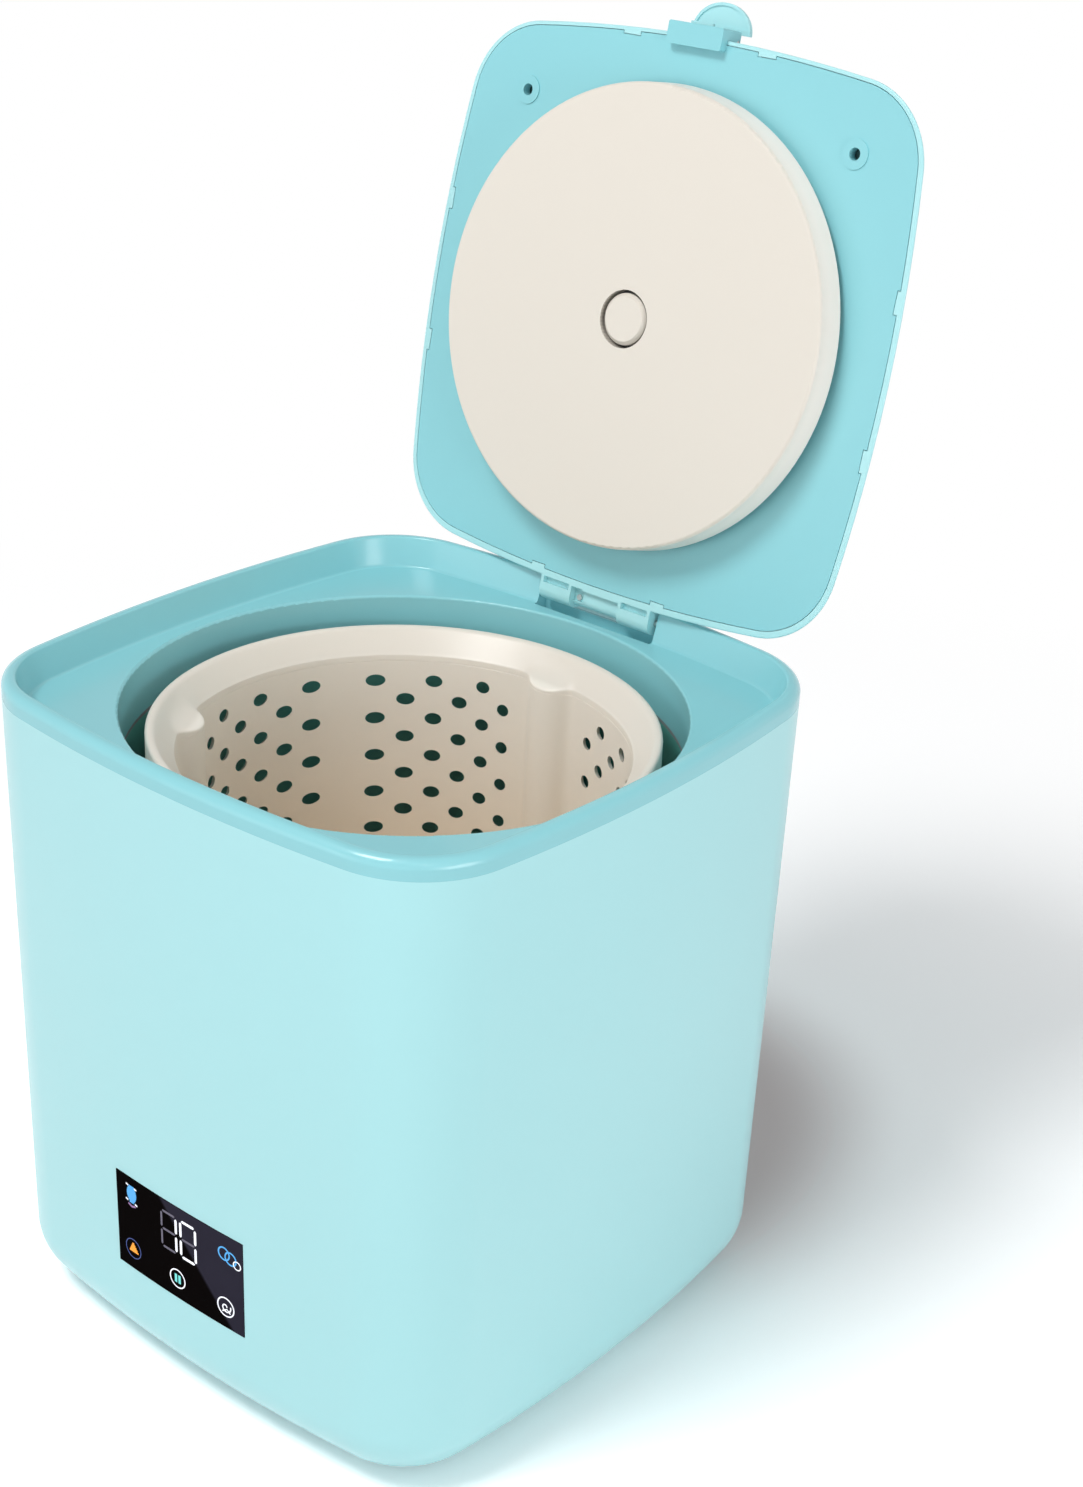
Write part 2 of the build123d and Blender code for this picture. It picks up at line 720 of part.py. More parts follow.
def spin_basket():
    """Perforated basket with three rounded vanes and a cone over the shaft hub."""
    under = basket_floor_z - basket_floor
    basket = extrude(Pos(0, 0, under) * vane_outline(basket_wall), basket_top_z - under)
    basket -= extrude(Pos(0, 0, basket_floor_z) * vane_outline(), basket_top_z)
    basket -= basket_holes()
    cone_top = basket_floor_z + basket_cone_height
    basket += turned((0, under), (basket_cone_r, under), (basket_cone_r, basket_floor_z),
                     (basket_cone_top_r, cone_top), (0, cone_top))
    basket -= rod(shaft_r + press_gap, under - 1, cone_top + 1)
    return basket


def balance_ring():
    """Weighted collar whose funnel edge follows the basket's vanes."""
    edge_r = ring_outer_r - ring_edge
    ring = turned((0, ring_bottom_z), (edge_r, ring_bottom_z), (ring_outer_r, ring_bottom_z + ring_edge),
                  (ring_outer_r, ring_top_z - ring_edge), (edge_r, ring_top_z), (0, ring_top_z))
    inner_top = ring_outer_r - ring_top_land
    ring -= turned((0, ring_top_z + 1), (inner_top, ring_top_z + 1), (inner_top, ring_top_z),
                   (basket_r + ring_edge / 2, ring_lip_z), (vane_reach, ring_vane_z), (0, ring_vane_z))
    ring -= extrude(Pos(0, 0, ring_bottom_z - 1) * vane_outline(), ring_top_z)
    bore_depth = basket_top_z + bond_gap - ring_bottom_z + 1
    ring -= extrude(Pos(0, 0, ring_bottom_z - 1) * vane_outline(basket_wall + bond_gap), bore_depth)
    return ring


def drive_shaft():
    """Steel shaft from the pulley through both bearings to the basket's cone."""
    return rod(shaft_r, shaft_bottom_z, basket_floor_z + basket_cone_height + shaft_nut_reach)


def basket_nut():
    """Domed cap nut that clamps the basket on its shaft."""
    seat = basket_floor_z + basket_cone_height
    top = seat + nut_height
    face_r = nut_across / 2
    hexagon = extrude(Pos(0, 0, seat) * RegularPolygon(face_r, 6, major_radius=False), nut_height)
    dome = turned((0, top), (face_r * 0.94, top), (face_r * 0.7, top + nut_dome * 0.67), (0, top + nut_dome))
    return hexagon + dome - rod(shaft_r + press_gap, seat - 1, seat + shaft_nut_reach + fit_gap)


def bearing(z):
    """Ball bearing as a closed ring between shaft and tub hub."""
    return tube(shaft_r + running_gap, bearing_outer_r, z, z + bearing_width)


def shaft_seal():
    """Rubber lip seal above the upper bearing."""
    bottom = upper_bearing_z + bearing_width + fit_gap
    return tube(shaft_r + 2 * running_gap, bearing_outer_r, bottom, bottom + seal_height)


def pulley(r, bore):
    """Flat-belt pulley with two flanges, centred on the belt's plane."""
    low, high = belt_plane_z - pulley_width / 2, belt_plane_z + pulley_width / 2
    edge, outer = pulley_flange_width, r + pulley_flange
    return turned((bore, low), (outer, low), (outer, low + edge), (r, low + edge),
                  (r, high - edge), (outer, high - edge), (outer, high), (bore, high))


def driven_pulley():
    """Large pulley with a thin web and lightening holes."""
    wheel = pulley(driven_pulley_r, shaft_r + press_gap)
    low, high = belt_plane_z - pulley_width / 2, belt_plane_z + pulley_width / 2
    rim_in = driven_pulley_r - pulley_rim
    wheel -= tube(pulley_hub_r, rim_in, low - 1, belt_plane_z - pulley_web / 2)
    wheel -= tube(pulley_hub_r, rim_in, belt_plane_z + pulley_web / 2, high + 1)
    wheel -= around(pulley_hole_count, rod(pulley_hole_r, low, high, (rim_in + pulley_hub_r) / 2))
    return wheel


def pulley_nut():
    """Hexagon nut under the large pulley."""
    seat = belt_plane_z - pulley_width / 2
    hexagon = RegularPolygon(pulley_nut_across / 2, 6, major_radius=False)
    nut = extrude(Pos(0, 0, seat - pulley_nut_height) * hexagon, pulley_nut_height)
    return nut - rod(shaft_r + press_gap, seat - pulley_nut_height - 1, seat + 1)


def drive_belt():
    """Flat belt round both pulleys, a hair off their faces."""
    gap = fit_gap
    low = belt_plane_z - belt_width / 2

    def loop(extra):
        big = CenterArc((0, 0), driven_pulley_r + extra, 0, 360)
        small = CenterArc(motor_place, motor_pulley_r + extra, 0, 360)
        return make_hull([big, small])

    band = loop(gap + belt_thickness) - loop(gap)
    return extrude(Pos(0, 0, low) * band, belt_width)


def motor_bracket():
    """Bent plate that carries the motor above its pulley, with two legs and feet."""
    half = bracket_half_width
    plate_low = bracket_top_z - bracket_plate
    sole_top = base_top_z + bracket_plate
    frame = box(-bracket_back, bracket_front, -half, half, plate_low, bracket_top_z)
    for side in (-1, 1):
        inner, tip = side * (half - bracket_plate), side * (half + bracket_foot)
        leg_y = sorted((inner, side * half))
        sole_y = sorted((inner, tip))
        frame += box(-bracket_leg_back, bracket_front, *leg_y, base_top_z, bracket_top_z)
        frame += box(-bracket_leg_back, bracket_front, *sole_y, base_top_z, sole_top)
        foot_hole_r = screw_shank_r + screw_clearance
        frame -= rod(foot_hole_r, base_top_z - 1, sole_top + 1, bracket_mid, side * bracket_screw_y)
        motor_hole_r = motor_screw_r + screw_clearance
        frame -= rod(motor_hole_r, plate_low - 1, bracket_top_z + 1, 0, side * motor_screw_spread)
    frame -= rod(motor_boss_r + 2 * screw_clearance, plate_low - 1, bracket_top_z + 1)
    return at_motor(frame)


def at_motor(piece):
    """Places a piece drawn about the motor's axis."""
    return Pos(*motor_place, 0) * Rot(0, 0, motor_angle) * piece


def bracket_screws():
    """Screws that hold the bracket's feet to the base plate."""
    top = base_top_z + bracket_plate
    screws = []
    for side in (-1, 1):
        y = side * bracket_screw_y
        shank = rod(screw_shank_r - press_gap, base_top_z, top, bracket_mid, y)
        screws.append(at_motor(rod(screw_head_r, top, top + screw_head, bracket_mid, y) + shank))
    return screws


def motor_screws():
    """Screws up through the bracket into the motor's end."""
    seat = bracket_top_z - bracket_plate
    length = bracket_plate + 2 * screw_head
    return [at_motor(screw_up(0, y * motor_screw_spread, seat, length, motor_screw_r)) for y in (-1, 1)]


def motor_can():
    """Closed motor housing with its front boss."""
    top = tub_floor_z - tub_floor - motor_head_gap
    shoulder = motor_r - motor_edge
    low = bracket_top_z - bracket_plate
    can = turned((0, bracket_top_z), (motor_r, bracket_top_z), (motor_r, top - motor_edge),
                 (shoulder, top), (0, top))
    can += rod(motor_boss_r, low, bracket_top_z + 1)
    can -= rod(motor_shaft_r + running_gap, low - 1, bracket_top_z + motor_shaft_inside + 1)
    bore_r, bore_top = motor_screw_r + press_gap, bracket_top_z + 2 * screw_head + 1
    can -= [rod(bore_r, bracket_top_z - 1, bore_top, 0, y * motor_screw_spread) for y in (-1, 1)]
    return at_motor(can)


def motor_shaft():
    """Motor shaft from inside the housing down through the small pulley."""
    shaft = rod(motor_shaft_r, belt_plane_z - pulley_width / 2, bracket_top_z + motor_shaft_inside)
    return Pos(*motor_place, 0) * shaft


def motor_pulley():
    """Small pulley on the motor shaft."""
    return Pos(*motor_place, 0) * pulley(motor_pulley_r, motor_shaft_r + press_gap)


def drain_hose():
    """Hose from the tub's outlet down and back to the spigot."""
    start = (*outlet_place, tub_floor_z - tub_floor - fit_gap)
    corner = (*outlet_place, service_z)
    end = (outlet_x, spigot_start_y + hose_grip, service_z)
    path = FilletPolyline(start, corner, end, radius=hose_bend_r)
    section = Plane(origin=path @ 0, z_dir=path % 0)
    bore = outlet_r + bond_gap
    return sweep(section * Circle(bore + hose_wall), path) - sweep(section * Circle(bore), path)


spigot_start_y = service_pad_y - spigot_inside
nozzle_end_y = service_pad_y + spigot_flange + nozzle_length


def along_back(piece, x):
    """Turns a piece drawn upwards so that it points out of the back at a service place."""
    return Pos(x, 0, service_z) * Rot(-90, 0, 0) * piece


def drain_spigot():
    """Nozzle through the back wall with a flange on its pad."""
    body = rod(outlet_r, spigot_start_y, nozzle_end_y)
    body += rod(spigot_flange_r, service_pad_y, service_pad_y + spigot_flange)
    return along_back(body - rod(outlet_bore_r, 0, nozzle_end_y + 1), outlet_x)


def drain_plug():
    """Rubber stopper in the nozzle, with a pull ring."""
    seat = nozzle_end_y + fit_gap
    head_end = seat + plug_head
    stem = rod(outlet_bore_r - 2 * running_gap, nozzle_end_y - plug_length, seat)
    head = rod(outlet_r - bond_gap * 10, seat, head_end)
    ring = Cylinder(plug_ring_r, plug_ring_width)
    ring -= Cylinder(plug_ring_r - plug_ring_width, 2 * plug_ring_width)
    ring = Pos(0, 0, head_end + plug_ring_r - plug_ring_width / 2) * Rot(90, 0, 0) * ring
    ring -= rod(outlet_r, head_end - plug_head, head_end - plug_head / 4)
    return along_back(stem + head + ring, outlet_x)


def dc_inlet():
    """Round power socket in the back wall with its centre contact."""
    face = service_pad_y + inlet_flange
    body = rod(inlet_r, service_pad_y - inlet_inside, face) + rod(inlet_flange_r, service_pad_y, face)
    body -= rod(inlet_bore_r, face - inlet_bore_depth, face + 1)
    return along_back(body + rod(inlet_contact_r, face - inlet_bore_depth - 1, face - 1), inlet_x)


def power_board():
    """Supply board on standoffs at the rear, with its tall components."""
    board_z = base_top_z + power_board_rise
    top = board_z + board_thickness
    half_x, half_y = power_board_width / 2, power_board_depth / 2
    board = box(-half_x, half_x, -half_y, half_y, board_z, top)
    for x in (-1, 1):
        for y in (-1, 1):
            spot = (x * (half_x - power_post_inset), y * (half_y - power_post_inset))
            board += rod(power_post_r, base_top_z, board_z, *spot)
    board += Pos(-half_x * 0.43, 0, top + transformer_size[2] / 2) * Box(*transformer_size)
    board += rod(capacitor_r, top, top + capacitor_height, half_x * 0.23, -half_y / 3)
    board += Pos(half_x * 0.67, 0, top + relay_size[2] / 2) * Box(*relay_size)
    return Pos(power_board_x, power_board_y, 0) * board


def display_cover():
    """Curved black glass, a touch proud of the front wall."""
    half_w, half_h = display_width / 2, display_height / 2
    skin = casing_solid(-display_proud) - casing_solid(display_glass - bond_gap)
    low, high = display_z - half_h, display_z + half_h
    window = box(-half_w, half_w, -body_half - casing_wall, -body_half / 2, low, high)
    return skin & window


def led_module():
    """Segment display behind the glass, soldered to the display board."""
    half_w, half_h = led_width / 2, led_height / 2
    front_y = board_front_y - led_depth
    return box(-half_w, half_w, front_y, board_front_y, display_z - half_h, display_z + half_h)


def display_board():
    """Touch and display board on its four posts."""
    half_w, half_h = board_width / 2, board_height / 2
    back_y = board_front_y + board_thickness
    return box(-half_w, half_w, board_front_y, back_y, display_z - half_h, display_z + half_h)


def lid_sensor():
    """Lid switch under the deck."""
    return Pos(*sensor_place, deck_under_z - sensor_size[2] / 2) * Box(*sensor_size)


def panel_space(inset, depth):
    """The space of the lid panel, drawn in from the lid's edge by an inset."""
    return Pos(0, panel_shift, 0) * extrude(lid_outline(inset), -depth)


def panel_notches(gap):
    """Notches in the panel's edge for the outer cover's teeth, made smaller all round by a gap."""
    depth, beyond = tooth_depth - gap, panel_inset
    low = -panel_thickness
    middle = lid_length / 2 - lid_back_overhang + panel_shift
    notches = []
    for sign in (-1, 1):
        half, at = tooth_free_length / 2 - gap, sign * tooth_free_spread
        edge = lid_end - panel_inset + panel_shift - bow_drop(at)
        notches.append(box(at - half, at + half, edge - depth, edge + beyond, low, 0))
        half, at = tooth_hinge_length / 2 - gap, sign * tooth_hinge_spread
        edge = panel_inset + panel_shift - lid_back_overhang + bow_drop(at)
        notches.append(box(at - half, at + half, edge - beyond, edge + depth, low, 0))
        half, off = tooth_side_length / 2 - gap, sign * tooth_side_spread
        edge = lid_half_width - panel_inset - bow_drop(off)
        for side in (-1, 1):
            x = sorted((side * (edge - depth), side * (edge + beyond)))
            notches.append(box(*x, middle + off - half, middle + off + half, low, 0))
    return notches


def bow_drop(off_middle):
    """How far the lid's bowed side has fallen back at a distance from its middle."""
    side_r = ((lid_half_width - 0.3 * lid_corner_r) ** 2 + lid_bow**2) / (2 * lid_bow)
    return side_r - sqrt(side_r**2 - off_middle**2)


def barrel(r, top, half):
    """A bar across the hinge, rounded about the pin, with its face at a height."""
    v, w = hinge_v, hinge_w
    profile = make_hull([
        CenterArc((v, top - r), r, 0, 360),
        CenterArc((v, w), r, 0, 360),
        Line((barrel_root, top), (2 * barrel_root, -lid_depth + crown_overlap)),
    ])
    across = Plane(origin=(-half, 0, 0), x_dir=(0, 1, 0), z_dir=(1, 0, 0))
    return extrude(across * profile, 2 * half)


def hinge_arms():
    """Both arms and the sunk web between them, with a slot across each arm."""
    back = hinge_v - knuckle_r - 1
    bar = barrel(knuckle_r, 0, arm_outer_u)
    bar -= box(-arm_inner_u, arm_inner_u, back, -lid_back_overhang, hinge_w - knuckle_r - 1, 1)
    bar += barrel(-web_recess - hinge_w, -web_recess, arm_inner_u)
    near, end = set_screw_u - web_pocket_width / 2, set_screw_u + web_pocket_width / 2
    bar -= box(near, end, set_screw_v - web_pocket_back, web_pocket_front, -web_recess - web_pocket_depth, 1)
    slots = [side * (arm_inner_u + arm_outer_u) / 2 for side in (-1, 1)]
    half = arm_slot_length / 2
    front = arm_slot_front
    bar -= [box(u - half, u + half, front - arm_slot_width, front, -arm_slot_depth, 1) for u in slots]
    return bar


def lid_outer():
    """Outer lid cover: crowned skin, seam border with its teeth, screw bosses and hinge arms."""
    slope = tan(radians(lid_edge_slope))
    skin = loft([lid_outline(0), lid_outline(lid_depth * slope, -lid_depth)])
    skin = fillet(skin.edges().group_by(Axis.Z)[0], lid_crown_r)
    skin = fillet(skin.edges().group_by(Axis.Z)[-1], lid_edge_round)
    skin += hinge_arms()
    seat = panel_inset - fit_gap
    skin -= panel_space(seat, panel_thickness) - panel_notches(fit_gap)
    inner = seat + panel_seat_width
    depth = lid_depth - lid_skin - panel_thickness
    hollow_floor = lid_outline(inner + depth * slope, -lid_depth + lid_skin)
    skin -= loft([lid_outline(inner, -panel_thickness), hollow_floor])
    for x, y in lid_screw_spots():
        skin += rod(screw_cup_r - bond_gap, -lid_depth + lid_skin / 2, -screw_cup_depth - bond_gap, x, y)
        skin -= rod(boss_core_r, -lid_depth + lid_skin, 0, x, y)
    half = latch_block_half + fit_gap
    start = latch_block_start - fit_gap
    skin -= box(-half, half, start, lid_end + latch_block_proud, -latch_block_depth - fit_gap, 1)
    skin -= Pos(0, hinge_v, hinge_w) * Rot(0, 90, 0) * Cylinder(hinge_pin_r + press_gap, 2 * arm_outer_u + 1)
    return skin - rod(set_screw_r + press_gap, hinge_w, 1, set_screw_u, set_screw_v)


def lid_screw_spots():
    """Where the two lid screws go, near the free edge."""
    return [(-screw_place[0], screw_place[1]), screw_place]


def lid_inner():
    """Flat lid panel with screw cups, the cover's stud and the latch housing."""
    panel = panel_space(panel_inset, panel_thickness) - panel_notches(0)
    for x, y in lid_screw_spots():
        panel += rod(screw_cup_r, -screw_cup_depth, 0, x, y)
        panel += rod(screw_ring_r, -panel_thickness / 2, screw_ring_height, x, y)
        panel -= rod(screw_cup_bore_r, -screw_cup_depth + 1, screw_ring_height + 1, x, y)
        panel -= rod(boss_core_r + bond_gap, -screw_cup_depth - 1, 0, x, y)
    middle = lid_middle()
    panel += rod(cover_stud_collar_r, -panel_thickness / 2, cover_hub_floor - fit_gap, *middle)
    panel += rod(cover_stud_r, 0, cover_stud_top, *middle)
    plug_end = cover_stud_top - cap_plug_length
    panel -= rod(cap_plug_r + press_gap, plug_end - fit_gap, cover_stud_top + 1, *middle)
    half, start, end = latch_block_half, latch_block_start, latch_block_end
    block = box(-half, half, start, end, -latch_block_depth, latch_block_raise)
    panel += fillet(block.edges().filter_by(Axis.Z), latch_wall * 0.8)
    inner = half - latch_cheek
    ceiling = latch_block_raise - latch_wall
    panel -= box(-inner, inner, start + latch_wall, end - latch_wall, -latch_block_depth - 1, ceiling)
    window = latch_nose_half + latch_window_gap
    window_low, window_high = -latch_nose_top - latch_window_gap, latch_nose_low + latch_window_gap
    panel -= box(-window, window, end - 2 * latch_wall, end + 1, window_low, window_high)
    return panel - Pos(0, *latch_pivot) * Rot(0, 90, 0) * Cylinder(latch_pin_r + press_gap, 2 * half + 1)


def lid_middle():
    """The centre of the spin cover in the lid's plane."""
    return (0.0, lid_back_y)


def lid_screws():
    """Two screws in the panel's cups."""
    seat = -screw_cup_depth + 1
    tip = -lid_depth + lid_skin + fit_gap
    head_r = screw_cup_bore_r - fit_gap
    shank_r = boss_core_r - press_gap
    return [rod(head_r, seat, seat + 1.5, x, y) + rod(shank_r, tip, seat, x, y) for x, y in lid_screw_spots()]


hinge_pin_length = 2 * (hinge_pocket_half + pin_seat_length)


def hinge_pin():
    """Steel pin through the lid's arms into the top cover."""
    return Pos(0, hinge_v, hinge_w) * Rot(0, 90, 0) * Cylinder(hinge_pin_r, hinge_pin_length)


def hinge_set_screw():
    """Small screw that locks the pin to the lid's web."""
    top = -web_recess - web_pocket_depth
    shank = rod(set_screw_r, hinge_w + hinge_pin_r, top, set_screw_u, set_screw_v)
    return shank + rod(set_screw_head_r, top, top + set_screw_head, set_screw_u, set_screw_v)


def lid_magnet():
    """Magnet inside the lid over the deck's sensor."""
    x, y = sensor_place[0], lid_back_y - sensor_place[1] - magnet_back
    return Pos(x, y, -panel_thickness - magnet_size[2] / 2) * Box(*magnet_size)


def spin_cover():
    """Shallow turning cover that closes the basket's mouth."""
    face, base = cover_drop, cover_base_gap
    inside = face - cover_wall
    hub_r = cover_hole_r + cover_wall
    hub_top = cover_hub_floor + cover_wall
    bore = cover_stud_r + cover_bush_gap
    disc = turned(
        (cover_hole_r, face), (cover_face_r, face), (cover_base_r, base), (cover_base_r - cover_wall, base),
        (cover_face_r - cover_wall, inside), (hub_r, inside), (hub_r, cover_hub_floor),
        (bore, cover_hub_floor), (bore, hub_top), (cover_hole_r, hub_top),
    )
    rim = disc.edges().filter_by(GeomType.CIRCLE).group_by(Axis.Z)[-1]
    rim = [edge for edge in rim if edge.radius > cover_hole_r + 1]
    disc = fillet(rim, cover_edge_round)
    half_rib = cover_rib / 2
    rib = box(hub_r - 0.5, cover_face_r - cover_wall, -half_rib, half_rib, cover_hub_floor, inside + 0.5)
    disc += around(cover_rib_count, rib)
    return Pos(*lid_middle(), 0) * disc


def cover_cap():
    """Cap on the stud that keeps the spin cover on."""
    low = cover_stud_top
    cap = turned((0, low), (cover_cap_r, low), (cover_cap_r, cover_drop - cap_edge),
                 (cover_cap_r - cap_edge, cover_drop), (0, cover_drop))
    return Pos(*lid_middle(), 0) * (cap + rod(cap_plug_r, low - cap_plug_length, low + 0.5))


def half_moon(edge, back):
    """The thumb tab's outline, drawn in by an edge and cut off above its straight side."""
    across, reach = latch_tab_half - edge, latch_tab_reach - edge
    moon = Pos(0, latch_tab_chord) * Ellipse(across, reach)
    return moon & Pos(0, latch_tab_chord + back + reach) * Rectangle(2 * across, 2 * reach)


def latch_lever():
    """Press-down rocker with a half-moon thumb tab and a catch nose."""
    under, top = -latch_tab_under, -latch_tab_under - latch_tab_thickness
    lever = extrude(Pos(0, 0, top) * half_moon(0, 0), latch_tab_thickness)
    lever = fillet(lever.edges().group_by(Axis.Z)[0], latch_tab_edge)
    half = latch_lever_half
    v, w = latch_pivot
    lever += box(-half, half, v - latch_stem_back, latch_tab_chord + 1, top, under)
    lever += box(-half, half, v - latch_stem_back, v + latch_stem_front, top, latch_nose_low)
    nose = latch_nose_half
    lever += box(-nose, nose, v, latch_block_end + latch_nose_reach, -latch_nose_top, latch_nose_low)
    lever -= extrude(Pos(0, 0, under - latch_dish) * half_moon(latch_dish_edge, latch_dish_back), 1)
    return lever - Pos(0, v, w) * Rot(0, 90, 0) * Cylinder(latch_pin_r + running_gap, 2 * half + 1)


def latch_pin():
    """Pivot pin of the latch in the housing's side walls."""
    return Pos(0, *latch_pivot) * Rot(0, 90, 0) * Cylinder(latch_pin_r, 2 * (latch_block_half - fit_gap))


def latch_springs():
    """Two torsion springs on the pin, one on each side of the lever."""
    low, high = latch_lever_half + fit_gap, latch_block_half - latch_cheek - fit_gap
    coil = Cylinder(latch_spring_r, high - low) - Cylinder(latch_pin_r + 2 * running_gap, high)
    coil = Rot(0, 90, 0) * coil
    return [Pos(side * (low + high) / 2, *latch_pivot) * coil for side in (-1, 1)]


def save(name, piece, where=None):
    """Writes one node, as a group where it holds several separate solids."""
    if isinstance(piece, (list, tuple)):
        piece = Compound(children=list(piece))
    if where is not None:
        piece = where * piece
    export_step(piece, f"parts/{name}.step")


def main():
    save("outer_shell", outer_shell())
    save("top_cover", top_cover())
    save("base_plate", base_plate())
    save("base_screws", base_screws())
    for side, x in (("left", -foot_place), ("right", foot_place)):
        for end, y in (("front", -foot_place), ("rear", foot_place)):
            save(f"foot_{end}_{side}", foot(x, y))
    save("wash_tub", wash_tub())
    save("tub_seal", tub_seal())
    save("tub_screws", tub_screws())
    save("lower_bearing", bearing(lower_bearing_z))
    save("upper_bearing", bearing(upper_bearing_z))
    save("shaft_seal", shaft_seal())
    save("motor_bracket", motor_bracket())
    save("bracket_screws", bracket_screws())
    save("motor_screws", motor_screws())
    save("motor_can", motor_can())
    save("drive_belt", drive_belt())
    save("drain_hose", drain_hose())
    save("drain_spigot", drain_spigot())
    save("dc_inlet", dc_inlet())
    save("power_board", power_board())
    save("display_glass", display_cover())
    save("led_module", led_module())
    save("display_board", display_board())
    save("lid_sensor", lid_sensor())
    save("spin_basket", spin_basket())
    save("balance_ring", balance_ring())
    save("drive_shaft", drive_shaft())
    save("basket_nut", basket_nut())
    save("driven_pulley", driven_pulley())
    save("pulley_nut", pulley_nut())
    save("motor_shaft", motor_shaft())
    save("motor_pulley", motor_pulley())
    save("drain_plug", drain_plug())
    save("lid_outer", lid_outer(), open_lid)
    save("lid_inner", lid_inner(), open_lid)
    save("lid_screws", lid_screws(), open_lid)
    save("hinge_pin", hinge_pin(), open_lid)
    save("hinge_set_screw", hinge_set_screw(), open_lid)
    save("lid_magnet", lid_magnet(), open_lid)
    save("cover_cap", cover_cap(), open_lid)
    save("spin_cover", spin_cover(), open_lid)
    save("latch_lever", latch_lever(), open_lid)
    save("latch_pin", latch_pin(), open_lid)
    save("latch_springs", latch_springs(), open_lid)


main()
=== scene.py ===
import bmesh
import bpy
import json
from math import acos, atan2, cos, pi, radians, sin, sqrt
from mathutils import Matrix, Vector


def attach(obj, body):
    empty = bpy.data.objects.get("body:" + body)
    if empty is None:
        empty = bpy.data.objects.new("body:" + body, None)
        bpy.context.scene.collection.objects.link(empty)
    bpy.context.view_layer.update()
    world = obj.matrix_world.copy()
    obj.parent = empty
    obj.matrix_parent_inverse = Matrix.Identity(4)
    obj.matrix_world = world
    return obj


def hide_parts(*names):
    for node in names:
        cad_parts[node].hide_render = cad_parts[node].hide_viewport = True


# A portable washing machine with its lid open, dressed for the render.
# Sizes are in millimetres, and directions round the basket in degrees, until a mesh or a material
# takes them. The places and sizes of the floor, the lamps and the camera are in metres.

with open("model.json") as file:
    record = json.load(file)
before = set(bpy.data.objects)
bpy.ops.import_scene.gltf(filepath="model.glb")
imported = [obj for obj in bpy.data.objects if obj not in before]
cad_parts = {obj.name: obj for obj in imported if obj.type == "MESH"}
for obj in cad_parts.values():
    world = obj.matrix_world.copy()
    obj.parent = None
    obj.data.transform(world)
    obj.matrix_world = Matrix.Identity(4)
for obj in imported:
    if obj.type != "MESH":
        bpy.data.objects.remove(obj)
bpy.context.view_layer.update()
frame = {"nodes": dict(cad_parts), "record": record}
MM = 0.001

# Casing, lid and display, as in the solids
BODY_HALF, BODY_CORNER, SIDE_BOW, BOW_SHORT = 130.0, 44.0, 10.0, 0.3
SEAM_Z, FOOT_Z, NARROWING = 277.0, 3.0, 3.2
LID_OPEN, HINGE_Y, HINGE_Z = radians(102), 124.2, 278.8
COVER_FACE_R, CAP_R = 95.3, 10.7
DISPLAY_Z, DISPLAY_W, DISPLAY_H, GLASS_PROUD = 72.0, 73.0, 45.0, 0.25

# Basket and balance ring, as in the solids
BASKET_R, BASKET_WALL, BASKET_TOP_Z = 92.0, 2.2, 250.0
FLOOR_Z, FLOOR_THICK = 110.0, 2.5
VANES, FIRST_VANE, VANE_R, VANE_REACH, VANE_BLEND = 3, 90, 12.5, 84.4, 6.0
CONE_R, CONE_TOP_R, CONE_TOP_Z, SHAFT_R = 24.0, 11.0, 126.0, 4.0
RING_R, RING_TOP_Z, RING_LOW_Z = 103.5, 262.7, 243.0
RING_LIP_Z, RING_VANE_Z = 253.0, 251.3
BOND_GAP = 0.06

# Where the closed lid puts a point of the open one: turned by LID_OPEN, then shifted by this
HINGE = Vector((0, HINGE_Y, HINGE_Z)) * MM
COVER_SHIFT = HINGE - Matrix.Rotation(LID_OPEN, 3, "X") @ HINGE

# Time on the display: each digit's left side with its lit parts, and each part's place in a digit
# as a share across, a share up and whether it stands upright
DIGITS = ((-8.8, "bc"), (2.3, "abcdef"))
DIGIT_PARTS = {"a": (0.5, 1, False), "g": (0.5, 0.5, False), "d": (0.5, 0, False),
               "f": (0, 0.75, True), "b": (1, 0.75, True), "e": (0, 0.25, True),
               "c": (1, 0.25, True)}
DIGIT_WIDE, DIGIT_HIGH, DIGIT_LOW_Z = 8.4, 17.4, 71.6
PART_LONG, LIT_WIDE, UNLIT_WIDE = 7.3, 1.25, 1.0

# Floor, with a darker oval behind the machine that deepens its shadow
FLOOR_SIZE, BOUNCE = 24, (0.75, 0.75, 0.75, 1)
FLOOR_PALE, FLOOR_SHADE = (1.42, 1.42, 1.42, 1), (0.76, 0.67, 0.66, 1)
SHADE_Y, SHADE_HALF_X, SHADE_HALF_Y, SHADE_SOFT = 0.13, 0.118, 0.15, 0.30
WHITE, FADE_R, FADE_SOFT = (1, 1, 1, 1), 0.62, 0.32

# Lamps: name, place, size and power
LAMPS = (
    ("key_lamp", (-0.24, -0.95, 1.90), 0.7, 21),
    ("front_box", (-0.9, -2.0, 0.32), 1.2, 4),
    ("right_box", (2.1, -0.5, 0.32), 1.2, 18),
)
LAMP_AIM = (0, 0, 0.2)
SPOT_PLACE, SPOT_AIM, SPOT_POWER = (0.72, -0.62, 1.15), (0, 0, 0.24), 6.5
SPOT_CONE, SPOT_BLEND, SPOT_SOFT = radians(12.5), 0.8, 0.10
SKY, LEVEL_SKY, HIGH_SKY, HIGH_FROM = (0.97, 0.985, 1.0, 1), 1.0, 0.34, 0.6

# The photograph's camera
CAMERA_TURN, CAMERA_RISE, CAMERA_ROLL = radians(38.77), radians(25.40), radians(2.76)
CAMERA_PLACE, LENS, FILM_HIGH, FAR_CLIP = (0.58806, -0.64464, 0.67007), 58.02, 36.0, 60


